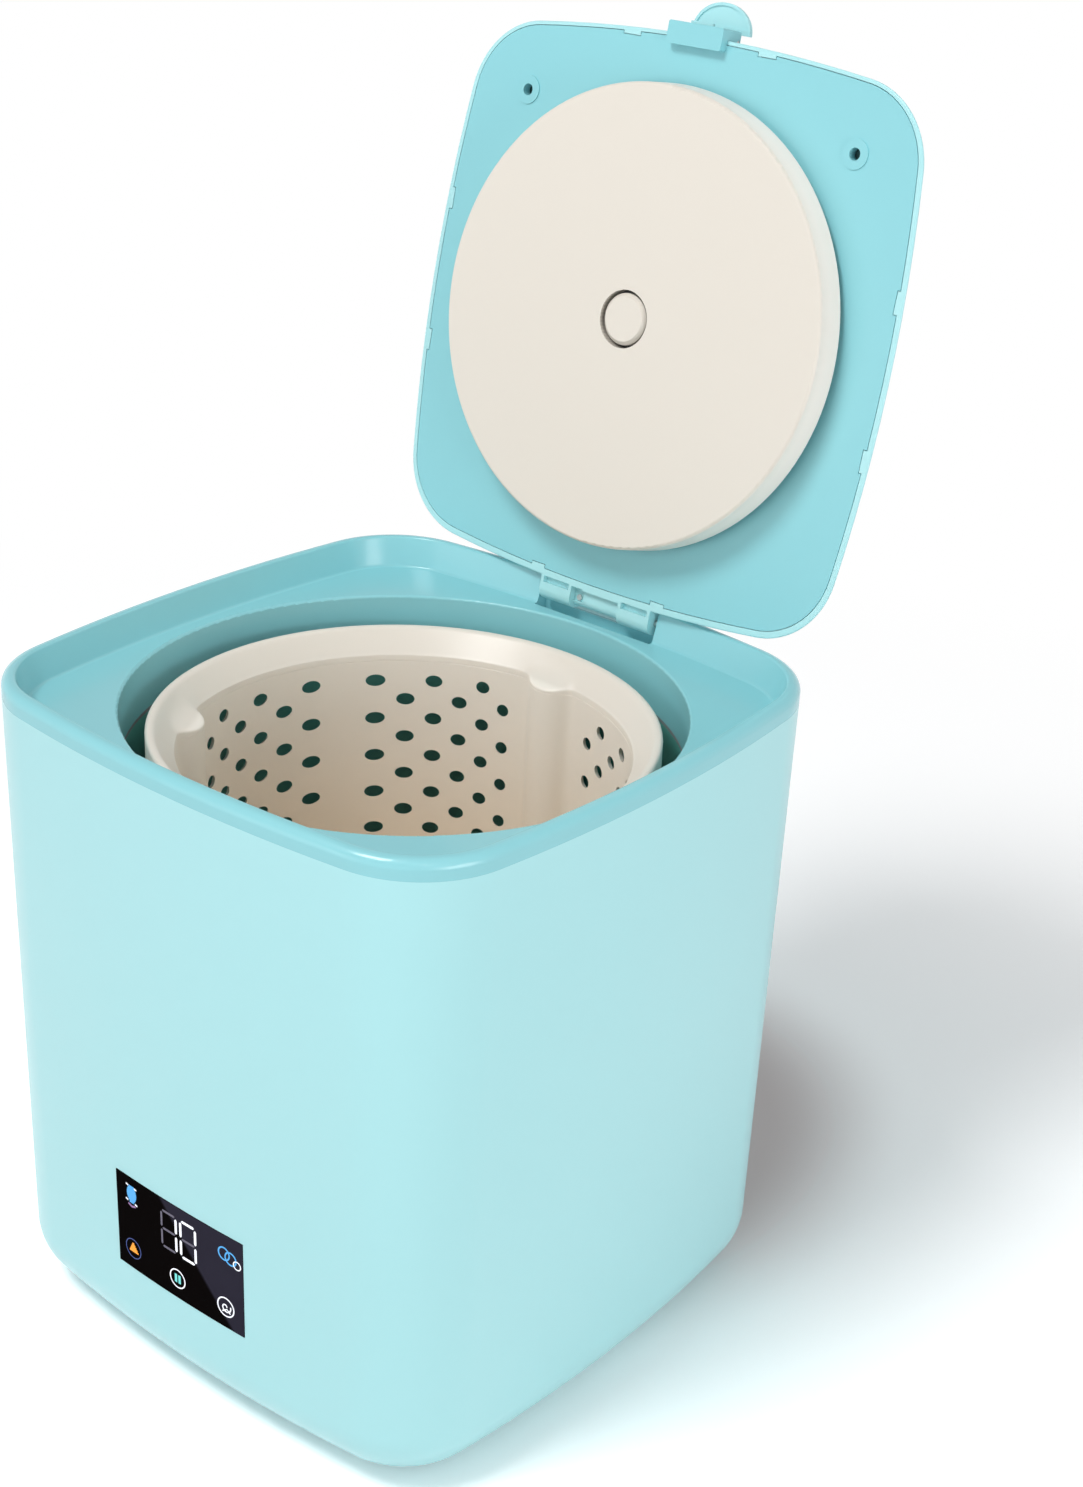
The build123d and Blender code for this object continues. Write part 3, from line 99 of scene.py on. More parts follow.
class Value:
    """A number or vector that changes over a surface; sums on it add maths nodes to its tree."""

    def __init__(self, tree, socket):
        self.tree, self.socket = tree, socket

    def join(self, kind, *parts):
        """The result of a maths node."""
        return self.tree.node("ShaderNodeMath", {"operation": kind}, parts)

    def __add__(self, other):
        return self.join("ADD", self, other)

    def __sub__(self, other):
        return self.join("SUBTRACT", self, other)

    def __rsub__(self, other):
        return self.join("SUBTRACT", other, self)

    def __mul__(self, other):
        return self.join("MULTIPLY", self, other)

    def __truediv__(self, other):
        return self.join("DIVIDE", self, other)

    def __mod__(self, other):
        return self.join("FLOORED_MODULO", self, other)

    def __floordiv__(self, other):
        return self.join("FLOOR", self / other)

    __radd__, __rmul__ = __add__, __mul__

    def cosine(self):
        return self.join("COSINE", self)

    def sine(self):
        return self.join("SINE", self)

    def ramp(self, low, high, first=0.0, last=1.0):
        """Goes smoothly from a first value to a last one while this value goes from low to high."""
        settings = {"interpolation_type": "SMOOTHSTEP"}
        return self.tree.node("ShaderNodeMapRange", settings, [self, low, high, first, last])

    def above(self, edge, soft):
        """Goes from 0 to 1 as the value passes an edge."""
        return self.ramp(edge - soft, edge + soft)


class Tree:
    """A node tree that is written as expressions."""

    def __init__(self, tree):
        self.tree, self.nodes = tree, tree.nodes

    def node(self, kind, settings=None, inputs=(), output=0):
        """Adds a node: its settings first, then the value or link of each socket."""
        made = self.nodes.new(kind)
        for key, value in (settings or {}).items():
            setattr(made, key, value)
        pairs = inputs.items() if isinstance(inputs, dict) else enumerate(inputs)
        for key, value in pairs:
            self.feed(made.inputs[key], value)
        return Value(self, made.outputs[output])

    def feed(self, socket, value):
        """Links a value to a socket, or sets the socket to a plain one."""
        if isinstance(value, Value):
            self.tree.links.new(value.socket, socket)
        else:
            socket.default_value = value

    def parts(self, vector):
        """The three parts of a vector."""
        split = self.node("ShaderNodeSeparateXYZ", None, [vector]).socket.node
        return [Value(self, socket) for socket in split.outputs]

    def vector(self, x, y, z):
        """A vector from its three parts."""
        return self.node("ShaderNodeCombineXYZ", None, [x, y, z])

    def length(self, vector):
        """How long a vector is."""
        return self.node("ShaderNodeVectorMath", {"operation": "LENGTH"}, [vector], "Value")

    def seen_by(self, *kinds):
        """1 for light rays of any of these kinds, and 0 for the others."""
        rays = self.nodes.new("ShaderNodeLightPath")
        hits = [Value(self, rays.outputs[f"Is {kind} Ray"]) for kind in kinds]
        return sum(hits[1:], hits[0])


class Finish(Tree):
    """A procedural material of one of the machine's plastics, metals or rubbers."""

    def __init__(self, name, colour, roughness, metallic=0.0, coat=0.0, specular=0.5):
        self.material = bpy.data.materials.new(name)
        self.material.use_nodes = True
        super().__init__(self.material.node_tree)
        self.surface = self.nodes["Principled BSDF"]
        self.colour, self.roughness = (*colour, 1), roughness
        for socket, value in (("Base Color", self.colour), ("Roughness", roughness),
                              ("Metallic", metallic), ("Coat Weight", coat),
                              ("Coat Roughness", 0.10), ("Specular IOR Level", specular)):
            self.surface.inputs[socket].default_value = value
        self.place = self.node("ShaderNodeTexCoord", output="Object")

    def noise(self, scale, detail=2.0, stretch=(1, 1, 1)):
        """Soft noise over the piece, with its grain drawn out along an axis."""
        place = self.node("ShaderNodeMapping", None, {"Vector": self.place, "Scale": stretch})
        settings = {"Vector": place, "Scale": scale, "Detail": detail}
        return self.node("ShaderNodeTexNoise", None, settings)

    def mix(self, factor, first, second):
        """A colour between two others."""
        settings = {"data_type": "RGBA"}
        return self.node("ShaderNodeMix", settings, {0: factor, 6: first, 7: second}, output=2)

    def paint(self, tone):
        """Gives the surface a colour that changes over it."""
        self.feed(self.surface.inputs["Base Color"], tone)

    def tint(self, factor, shade):
        """Moves the finish's own colour towards a shade by a factor that may vary."""
        self.paint(self.mix(factor, self.colour, (*shade, 1)))

    def drifting_colour(self):
        """The finish's own colour with a faint drift to a darker one."""
        return self.mix(self.noise(6, 2) * 0.05, self.colour, (*toned(self.colour, 0.90), 1))

    def gloss(self, patches, spread):
        """Uneven roughness, half a spread to either side of the finish's own."""
        tone = patches * spread + (self.roughness - spread / 2)
        self.feed(self.surface.inputs["Roughness"], tone)

    def relief(self, height, depth):
        """A bump with its depth in millimetres."""
        settings = {"Strength": 1.0, "Distance": depth * MM, "Height": height}
        self.feed(self.surface.inputs["Normal"], self.node("ShaderNodeBump", None, settings))

    def moulded_skin(self, grain=1.0):
        """The uneven gloss and fine grain of plastic from a mould."""
        self.gloss(self.noise(60, 3), 0.05)
        self.relief(self.noise(3200, 1), 0.004 * grain)


class Pattern(Tree):
    """A Geometry Nodes tree with named sizes, applied once to make a plain mesh."""

    def __init__(self, name):
        super().__init__(bpy.data.node_groups.new(name, "GeometryNodeTree"))
        self.face = self.tree.interface
        self.face.new_socket("Body", in_out="INPUT", socket_type="NodeSocketGeometry")
        self.face.new_socket("Body", in_out="OUTPUT", socket_type="NodeSocketGeometry")
        self.start = self.nodes.new("NodeGroupInput")
        self.end = self.nodes.new("NodeGroupOutput")
        self.body = Value(self, self.start.outputs["Body"])
        self.sizes = {}

    def size(self, name, value):
        """A named size of the pattern."""
        kind = "NodeSocketInt" if isinstance(value, int) else "NodeSocketFloat"
        socket = self.face.new_socket(name, in_out="INPUT", socket_type=kind)
        self.sizes[socket.identifier] = value
        return Value(self, self.start.outputs[name])

    def apply(self, thing, shape, material):
        """Ends the tree and replaces a piece's mesh by its result."""
        whole = self.node("GeometryNodeRealizeInstances", None, [shape])
        settings = {"Geometry": whole, "Material": material}
        self.feed(self.end.inputs["Body"], self.node("GeometryNodeSetMaterial", None, settings))
        pattern = thing.modifiers.new(self.tree.name, "NODES")
        pattern.node_group = self.tree
        for identifier, value in self.sizes.items():
            pattern[identifier] = value
        seen = thing.evaluated_get(bpy.context.evaluated_depsgraph_get())
        made = bpy.data.meshes.new_from_object(seen)
        thing.modifiers.remove(pattern)
        thing.data = made


def toned(colour, by):
    """A colour made darker by a share under 1, or lighter by one over it."""
    return tuple(min(1.0, part * by) for part in colour[:3])


def moulded(name, colour, roughness, coat=0.0, grain=1.0):
    """Moulded plastic: faint colour drift, uneven gloss and a fine or coarser grain."""
    made = Finish(name, colour, roughness, coat=coat)
    made.paint(made.drifting_colour())
    made.moulded_skin(grain)
    return made.material


def beige_wall(name, colour, low_colour):
    """Basket plastic with painted shade: a little warmer and darker towards the floor."""
    made = Finish(name, colour, 0.36)
    painted_shade_z, painted_shade_soft = 185 * MM, 62 * MM
    # Painted shade: lower down the wall the colour goes towards low_colour, with a little noise in
    # it
    low = 1 - made.parts(made.place)[2].above(painted_shade_z, painted_shade_soft)
    made.tint(low * (made.noise(14, 3) * 0.12 + 0.86), low_colour)
    made.gloss(made.noise(80, 3), 0.08)
    made.relief(made.noise(2600, 1), 0.006)
    return made.material


def collar_plastic(name, colour, inner_colour):
    """Plastic of the balance ring, with painted light below its lip, where it takes the basket's
    lighter tone against the shade there.
    """
    made = Finish(name, colour, 0.36)
    lip_z, lip_soft = (RING_LIP_Z - 0.4) * MM, 0.6 * MM
    # Painted light: below the lip the ring is lightened to the basket's tone, making up for the
    # shade under the lip
    inside = 1 - made.parts(made.place)[2].above(lip_z, lip_soft)
    made.tint(inside * (made.noise(14, 3) * 0.1 + 0.9), inner_colour)
    made.moulded_skin()
    return made.material


def cream_cover(name, colour):
    """Plastic of the round cover: a painted highlight on its edge, and painted shade in a dark line
    round its cap.
    """
    made = Finish(name, colour, 0.36)
    edge_highlight, shadow, line_width = (1.0, 0.87, 0.79, 1), (0.015, 0.013, 0.012, 1), 1.25
    closed = made.node("ShaderNodeMapping", {"vector_type": "POINT"}, {
        "Vector": made.place, "Location": COVER_SHIFT, "Rotation": (LID_OPEN, 0, 0)})
    across, along, _ = made.parts(closed)
    radius = made.length(made.vector(across, along, 0.0))
    # Painted highlight: the cover's edge is painted paler where light catches it
    edge = radius.above(COVER_FACE_R * MM, 0.4 * MM)
    # Painted shade: a dark ring round the cap stands for the shade in the groove between cap and
    # cover
    line = (radius.above(CAP_R * MM, 0.1 * MM)
            * (1 - radius.above((CAP_R + line_width) * MM, 0.1 * MM)))
    made.paint(made.mix(line, made.mix(edge, made.drifting_colour(), edge_highlight), shadow))
    made.moulded_skin()
    return made.material


def metal(name, colour, roughness, along=(1, 1, 0.05)):
    """Machined steel with a fine drawn grain."""
    made = Finish(name, colour, roughness, metallic=1.0)
    grain = made.noise(900, 3, along)
    made.tint(grain * 0.35, toned(colour, 0.7))
    made.gloss(grain, 0.2)
    made.relief(grain, 0.02)
    return made.material


def rubbery(name, colour, roughness=0.62):
    """Rubber with a dull, slightly dusty skin."""
    made = Finish(name, colour, roughness, specular=0.35)
    made.tint(made.noise(70, 5) * 0.5, toned(colour, 1.9))
    made.gloss(made.noise(160, 3), 0.2)
    made.relief(made.noise(1500, 2), 0.06)
    return made.material


def circuit(name):
    """Circuit board: solder mask with copper runs showing through."""
    made = Finish(name, (0.02, 0.16, 0.07), 0.35, coat=0.3)
    runs = made.node("ShaderNodeTexBrick", {"offset": 0.37}, {
        "Vector": made.place, "Scale": 210.0, "Mortar Size": 0.06,
        "Color1": (0, 0, 0, 1), "Color2": (0.25, 0.25, 0.25, 1), "Mortar": (1, 1, 1, 1)})
    made.tint(runs * 0.8, (0.10, 0.38, 0.16))
    made.relief(runs, 0.03)
    return made.material


def black_glass(name):
    """Back-painted glass: deep black, with a painted reflection, a paler sheen, across its upper
    right half.
    """
    made = Finish(name, (0.0045, 0.0035, 0.0035), 0.12, specular=0.0)
    sheen_start, sheen_slant = 0.37, 0.555
    across, _, height = made.parts(made.place)
    right = across / (DISPLAY_W * MM) + 0.5
    down = 0.5 - (height - DISPLAY_Z * MM) / (DISPLAY_H * MM)
    # Painted reflection: the upper right half of the glass is tinted paler and bluer
    sheen = (right - sheen_start - down * sheen_slant).above(0.0, 0.02)
    made.tint(sheen * (made.noise(25, 2) * 0.3 + 0.75), (0.034, 0.031, 0.048))
    made.gloss(made.noise(30, 4, (1, 1, 2.5)), 0.08)
    return made.material


def lit(name, colour, strength):
    """A lit sign under the glass, a little uneven as real backlights are."""
    made = Finish(name, toned(colour, 0.4), 0.4, specular=0.1)
    made.surface.inputs["Emission Strength"].default_value = strength
    glow = made.mix(made.noise(400, 2) * 0.35, (*colour, 1), (*toned(colour, 0.7), 1))
    made.feed(made.surface.inputs["Emission Color"], glow)
    return made.material


BEIGE = (0.93, 0.865, 0.775)
finishes = {name: make(name, *looks) for name, make, *looks in (
    ("pale_blue_shell", moulded, (0.425, 0.775, 0.805), 0.30, 0.1),
    ("aqua_cover", moulded, (0.275, 0.630, 0.680), 0.26, 0.2),
    ("aqua_panel", moulded, (0.262, 0.625, 0.680), 0.34),
    ("cream_plastic", cream_cover, (0.755, 0.700, 0.622)),
    # The basket's second colour is its painted shade towards the floor
    ("beige_basket", beige_wall, BEIGE, (0.78, 0.66, 0.51)),
    ("black_glass", black_glass),
    ("tub_grey", moulded, (0.11, 0.38, 0.34), 0.45, 0.0, 3),
    ("dark_plastic", moulded, (0.025, 0.025, 0.028), 0.5, 0.0, 4),
    ("grey_plastic", moulded, (0.42, 0.44, 0.45), 0.5, 0.0, 4),
    ("circuit_green", circuit),
    ("steel", metal, (0.62, 0.62, 0.61), 0.3),
    ("motor_steel", metal, (0.30, 0.30, 0.31), 0.42),
    ("black_rubber", rubbery, (0.022, 0.022, 0.022)),
    ("grey_rubber", rubbery, (0.20, 0.21, 0.215)),
)}
own_looks = {
    # Painted shade: the lid screws are dark teal to stand for the shade in their cups
    "lid_screws": metal("dark_screws", (0.05, 0.10, 0.10), 0.5),
    # The ring takes BEIGE below its lip as painted light against the shade there
    "balance_ring": collar_plastic("ring_plastic", (0.81, 0.745, 0.66), BEIGE),
}
bodies = frame["record"]["behaviour"]["bodies"]
node_body = {node: body for body, nodes in bodies.items() for node in nodes}
node_slot = {part["node"]: part["material_slot"] for part in frame["record"]["subparts"]}


def new_thing(name, data):
    """A mesh, lamp or camera as an object at the origin."""
    thing = bpy.data.objects.new(name, data)
    bpy.context.scene.collection.objects.link(thing)
    return thing


def give_finish(thing, slot, material=None):
    """Sets a piece's only material: the one given, or the finish of the record's slot."""
    thing.data.materials.clear()
    thing.data.materials.append(material or finishes[slot])


def dress(thing, node):
    """Makes a piece stand for a node, ride on its body and take its finish."""
    give_finish(thing, node_slot[node], own_looks.get(node))
    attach(thing, node_body[node])
    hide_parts(node)


def smooth_by_angle(thing, most=32):
    """Smooth shading with sharp edges where faces meet at more than an angle."""
    for face in thing.data.polygons:
        face.use_smooth = True
    work = bmesh.new()
    work.from_mesh(thing.data)
    for edge in work.edges:
        edge.smooth = len(edge.link_faces) == 2 and edge.calc_face_angle(0) <= radians(most)
    work.to_mesh(thing.data)
    work.free()


def finished_copy(node):
    """A clean, smoothly shaded copy of a solid that stands for its node."""
    copy = new_thing(node + "_skin", frame["nodes"][node].data.copy())
    work = bmesh.new()
    work.from_mesh(copy.data)
    bmesh.ops.remove_doubles(work, verts=work.verts, dist=0.004 * MM)
    work.to_mesh(copy.data)
    work.free()
    smooth_by_angle(copy)
    even = copy.modifiers.new("even_shading", "WEIGHTED_NORMAL")
    even.keep_sharp = True
    return copy


def closed_mesh(name, work):
    """The mesh of a closed skin, with its faces turned outwards."""
    bmesh.ops.recalc_face_normals(work, faces=work.faces)
    mesh = bpy.data.meshes.new(name)
    work.to_mesh(mesh)
    work.free()
    return mesh


def vane_angles():
    """Directions round the basket, closer together at each vane."""
    pitch, near = 360 / VANES, 14.5
    fine, coarse = 44, 24
    turns = []
    for i in range(VANES):
        vane = FIRST_VANE + i * pitch
        turns += [vane - near + 2 * near * k / fine for k in range(fine)]
        turns += [vane + near + (pitch - 2 * near) * k / coarse for k in range(coarse)]
    return turns


def basket_reach(turn, grow=0.0):
    """How far the basket's plan reaches in a direction, optionally grown outwards."""
    pitch = 360 / VANES
    off = radians(abs((turn - FIRST_VANE + pitch / 2) % pitch - pitch / 2))
    vane_at, vane_r = VANE_REACH + VANE_R, VANE_R - grow
    blend_at, blend_r = BASKET_R - VANE_BLEND, VANE_BLEND + grow
    apart = VANE_R + VANE_BLEND
    spread = acos((vane_at**2 + blend_at**2 - apart**2) / (2 * vane_at * blend_at))
    if off >= spread:
        return BASKET_R + grow
    vane = Vector((vane_at, 0))
    blend = Vector((blend_at * cos(spread), blend_at * sin(spread)))
    touch = blend + (vane - blend) * (blend_r / (blend_r + vane_r))
    if off > atan2(touch.y, touch.x):
        aside = blend_at * sin(spread - off)
        return blend_at * cos(spread - off) + sqrt(blend_r**2 - aside**2)
    return vane_at * cos(off) - sqrt(vane_r**2 - (vane_at * sin(off)) ** 2)


def ring_of(reach, height):
    """Points round the basket's axis, whose reach and height may change with the direction."""
    points = []
    for turn in vane_angles():
        r, z = (part(turn) if callable(part) else part for part in (reach, height))
        points.append((r * cos(radians(turn)), r * sin(radians(turn)), z))
    return points


def rounding(r, slopes):
    """Points on a rounded corner, each as what it lacks to the corner's two faces."""
    return [(r * (1 - cos(radians(slope))), r * (1 - sin(radians(slope)))) for slope in slopes]


def lofted(name, rings):
    """A closed skin through rings of points, the last ring joined to the first."""
    work = bmesh.new()
    rows = [[work.verts.new([part * MM for part in point]) for point in ring] for ring in rings]
    count = len(rings[0])
    for lower, upper in zip(rows, rows[1:] + rows[:1]):
        for i in range(count):
            j = (i + 1) % count
            work.faces.new((lower[i], lower[j], upper[j], upper[i]))
    return closed_mesh(name, work)


def basket_shell():
    """Basket wall with its vanes, rounded floor and shaft cone, before its holes."""
    heel, heel_mid, heel_in, lip = 2.2, 0.7, 6, 0.3
    under_r, floor_r, floor_round = 40, 60, 3.0
    cone_foot, cone_in, cone_rise, cone_edge = 1.2, 0.2, 0.5, 0.7
    first_level, level_pitch, level_count = 5, 9.6, 14
    under_z = FLOOR_Z - FLOOR_THICK
    levels = [FLOOR_Z + first_level + i * level_pitch for i in range(level_count)]

    def outer(inset, z):
        return ring_of(lambda turn: basket_reach(turn, BASKET_WALL) - inset, z)

    def inner(inset, z):
        return ring_of(lambda turn: basket_reach(turn) - inset, z)

    rings = [ring_of(SHAFT_R, under_z), ring_of(under_r, under_z), outer(heel_in, under_z)]
    rings += [outer(heel, under_z), outer(heel_mid, under_z + heel_mid), outer(0, under_z + heel)]
    rings += [outer(0, z) for z in levels]
    rings += [outer(0, BASKET_TOP_Z - lip), outer(lip, BASKET_TOP_Z), inner(-lip, BASKET_TOP_Z)]
    rings += [inner(0, z) for z in [BASKET_TOP_Z - lip] + levels[::-1]]
    rings += [inner(inset, FLOOR_Z + rise)
              for inset, rise in rounding(floor_round, (0, 30, 60, 90))]
    rings += [ring_of(floor_r, FLOOR_Z), ring_of(CONE_R + cone_foot, FLOOR_Z)]
    rings += [ring_of(CONE_R - cone_in, FLOOR_Z + cone_rise)]
    rings += [ring_of(CONE_TOP_R + cone_edge, CONE_TOP_Z - cone_edge)]
    rings += [ring_of(CONE_TOP_R, CONE_TOP_Z), ring_of(SHAFT_R, CONE_TOP_Z)]
    return lofted("spin_basket_skin", rings)


def drill_basket(basket):
    """Cuts the drain holes: columns mirrored about each sector's middle, flared outwards."""
    holes = Pattern("drain_holes")
    radius, flare = holes.size("Hole radius", 2.8 * MM), holes.size("Flare", 0.6)
    across, reach = holes.size("Basket radius", BASKET_R * MM), holes.size("Drill reach", 3.5 * MM)
    rows, columns = holes.size("Rows", 7), holes.size("Columns a side", 6)
    pitch, top = holes.size("Row pitch", 18.1 * MM), holes.size("Top row height", 240.7 * MM)
    lowest = holes.size("Lowest row height", 127 * MM)
    first, step = holes.size("First column", radians(9.1)), holes.size("Column step", radians(8.58))
    shrink, sectors = holes.size("Step shrink", radians(0.28)), holes.size("Vanes", VANES)
    widest, narrowing = holes.size("First width", 1.62), holes.size("Width step", 0.125)

    # Each drill's row and column, and the side and sector that the column is in
    index = holes.node("GeometryNodeInputIndex")
    row = index % rows
    column = (index // rows) % columns
    side = (index // (rows * columns)) % 2 * 2 - 1
    sector = index // (rows * columns * 2)

    # Each drill's direction from the axis and its height; every other column is half a row lower
    away = first + column * step - column * column * shrink
    turn = (sector + 0.5) * (2 * pi) / sectors + radians(FIRST_VANE) + side * away
    z = top - (row + (column % 2) * 0.5) * pitch
    place = holes.vector(across * turn.cosine(), across * turn.sine(), z)
    count = rows * columns * sectors * 2
    spots = holes.node("GeometryNodePoints", None, {"Count": count, "Position": place})
    above_cone = holes.node("FunctionNodeCompare", {"operation": "GREATER_THAN"}, [z, lowest])

    # The drill: a cone centred on the wall, widest outside
    spread = reach * flare
    cone = holes.node("GeometryNodeMeshCone", {"fill_type": "NGON"}, {
        "Vertices": 24, "Depth": reach * 2,
        "Radius Top": radius + spread, "Radius Bottom": radius - spread})
    drill = holes.node("GeometryNodeTransform", None, {
        "Geometry": cone, "Translation": holes.vector(0.0, 0.0, reach * -1)})
    drills = holes.node("GeometryNodeInstanceOnPoints", None, {
        "Points": spots, "Selection": above_cone, "Instance": drill,
        "Rotation": holes.vector(0.0, pi / 2, turn),
        "Scale": holes.vector(1.0, widest - column * narrowing, 1.0)})
    cutter = holes.node("GeometryNodeRealizeInstances", None, [drills])
    cut = holes.node("GeometryNodeMeshBoolean", {"operation": "DIFFERENCE", "solver": "MANIFOLD"},
                     {"Mesh 1": holes.body, "Mesh 2": cutter})
    holes.apply(basket, cut, finishes["beige_basket"])


def collar():
    """Balance ring: rounded rim and a funnel that runs down into the wall and over the vanes."""
    foot, rim, land, land_drop = 0.8, 1.5, 2.6, 0.2
    start_r, start_z = RING_R - 3.6, RING_TOP_Z - 0.75
    end_out, end_rise = 0.7, 0.35
    groove_z = BASKET_TOP_Z + BOND_GAP

    def groove(turn):
        return basket_reach(turn, BASKET_WALL + BOND_GAP)

    def lip_z(turn):
        """Height of the lip, which dips over the vanes."""
        share = (BASKET_R - basket_reach(turn)) / (BASKET_R - VANE_REACH)
        return RING_LIP_Z - share * (RING_LIP_Z - RING_VANE_Z)

    def funnel(share):
        """Points at a share of the way down; the vanes swell out of the funnel near its lip."""
        def reach(turn):
            swell = (BASKET_R - basket_reach(turn)) * share**4
            return start_r + (BASKET_R + end_out - start_r) * share - swell

        return ring_of(reach, lambda turn: start_z + (lip_z(turn) + end_rise - start_z) * share)

    def wall(out, drop):
        """Points on the wall below the lip."""
        return ring_of(lambda turn: basket_reach(turn) + out, lambda turn: lip_z(turn) - drop)

    rings = [ring_of(groove, RING_LOW_Z), ring_of(RING_R - foot, RING_LOW_Z)]
    rings += [ring_of(RING_R, RING_LOW_Z + foot), ring_of(RING_R, RING_TOP_Z - rim)]
    rings += [ring_of(RING_R - inset, RING_TOP_Z - drop)
              for inset, drop in rounding(rim, (22, 45, 68, 90))]
    rings += [ring_of(RING_R - land, RING_TOP_Z - land_drop)]
    rings += [funnel(share)
              for share in (0, 0.1, 0.25, 0.4, 0.5, 0.6, 0.7, 0.78, 0.85, 0.91, 0.96, 1)]
    rings += [wall(0.30, 0.02), wall(0.06, 0.30), wall(0, 0.8)]
    rings += [ring_of(basket_reach, groove_z), ring_of(groove, groove_z)]
    return lofted("balance_ring_skin", rings)


def on_glass(x, z, proud):
    """A point in metres on the display's curved face, or a little proud of it."""
    half_bow = BODY_HALF - BOW_SHORT * BODY_CORNER
    bowed_r = (half_bow**2 + SIDE_BOW**2) / (2 * SIDE_BOW)
    inset = NARROWING * (SEAM_Z - z) / (SEAM_Z - FOOT_Z) - GLASS_PROUD - proud
    return Vector((x, bowed_r - BODY_HALF - sqrt((bowed_r - inset) ** 2 - x**2), z)) * MM


class Sign:
    """Flat lit figures that lie a hair proud of the display's glass."""

    proud, sunk = 0.06, -0.04

    def __init__(self, name, material):
        self.name, self.material, self.work = name, material, bmesh.new()

    def strip(self, left, right, closed):
        """A band between two lines of points, with its sides and back."""
        edges = ((left, self.proud), (right, self.proud), (right, self.sunk), (left, self.sunk))
        rows = [[self.work.verts.new(on_glass(x, z, lift)) for x, z in line]
                for line, lift in edges]
        count = len(left)
        for first, second in zip(rows, rows[1:] + rows[:1]):
            for i in range(count if closed else count - 1):
                j = (i + 1) % count
                self.work.faces.new((first[i], first[j], second[j], second[i]))
        if not closed:
            self.work.faces.new([row[0] for row in rows])
            self.work.faces.new([row[-1] for row in reversed(rows)])

    def line(self, points, width, closed=False):
        """A stroke of even width through points."""
        left, right = [], []
        count = len(points)
        for i, (x, z) in enumerate(points):
            before = points[i - 1] if closed or i else points[i]
            after = points[(i + 1) % count] if closed or i < count - 1 else points[i]
            along = Vector((after[0] - before[0], after[1] - before[1])).normalized()
            side = Vector((-along.y, along.x)) * width / 2
            left.append((x + side.x, z + side.y))
            right.append((x - side.x, z - side.y))
        self.strip(left, right, closed)

    def loop(self, x, z, r, width, count=28):
        """A thin ring."""
        turns = [2 * pi * i / count for i in range(count)]
        self.line([(x + r * cos(turn), z + r * sin(turn)) for turn in turns], width, True)

    def bar(self, x, z, length, width, upright):
        """A part of a digit, pointed at both ends."""
        half, tip, point = length / 2, width / 2, 0.04
        edge = ((-half, point), (tip - half, tip), (half - tip, tip), (half, point))
        sides = [[(a, side * b) for a, b in edge] for side in (1, -1)]
        if upright:
            sides = [[(-b, a) for a, b in side] for side in sides]
        left, right = [[(x + a, z + b) for a, b in side] for side in sides]
        self.strip(left, right, False)

    def finish(self):
        """Makes the figures one piece on the display's body."""
        thing = new_thing(self.name, closed_mesh(self.name, self.work))
        give_finish(thing, "black_glass", self.material)
        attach(thing, node_body["display_glass"])


def display_time(white, dim):
    """The two digits, with their unlit parts glowing faintly."""
    bright, faint = Sign("time_digits", white), Sign("unlit_segments", dim)
    for left, lit_parts in DIGITS:
        for part, (across, up, upright) in DIGIT_PARTS.items():
            sign, wide = (bright, LIT_WIDE) if part in lit_parts else (faint, UNLIT_WIDE)
            place = left + across * DIGIT_WIDE, DIGIT_LOW_Z + up * DIGIT_HIGH
            sign.bar(*place, PART_LONG, wide, upright)
    bright.finish()
    faint.finish()


def sign_of(name, material, rings=(), strokes=()):
    """A sign made of rings, as x, z, radius and width, and of strokes, as points and width."""
    sign = Sign(name, material)
    for ring in rings:
        sign.loop(*ring)
    for points, width in strokes:
        sign.line(points, width)
    sign.finish()


def rows_of(x, z, drop, lefts, rights):
    """Level strokes below each other that fill a figure, from how far each reaches to its sides."""
    return [[(x - left, z - i * drop), (x + right, z - i * drop)]
            for i, (left, right) in enumerate(zip(lefts, rights))]


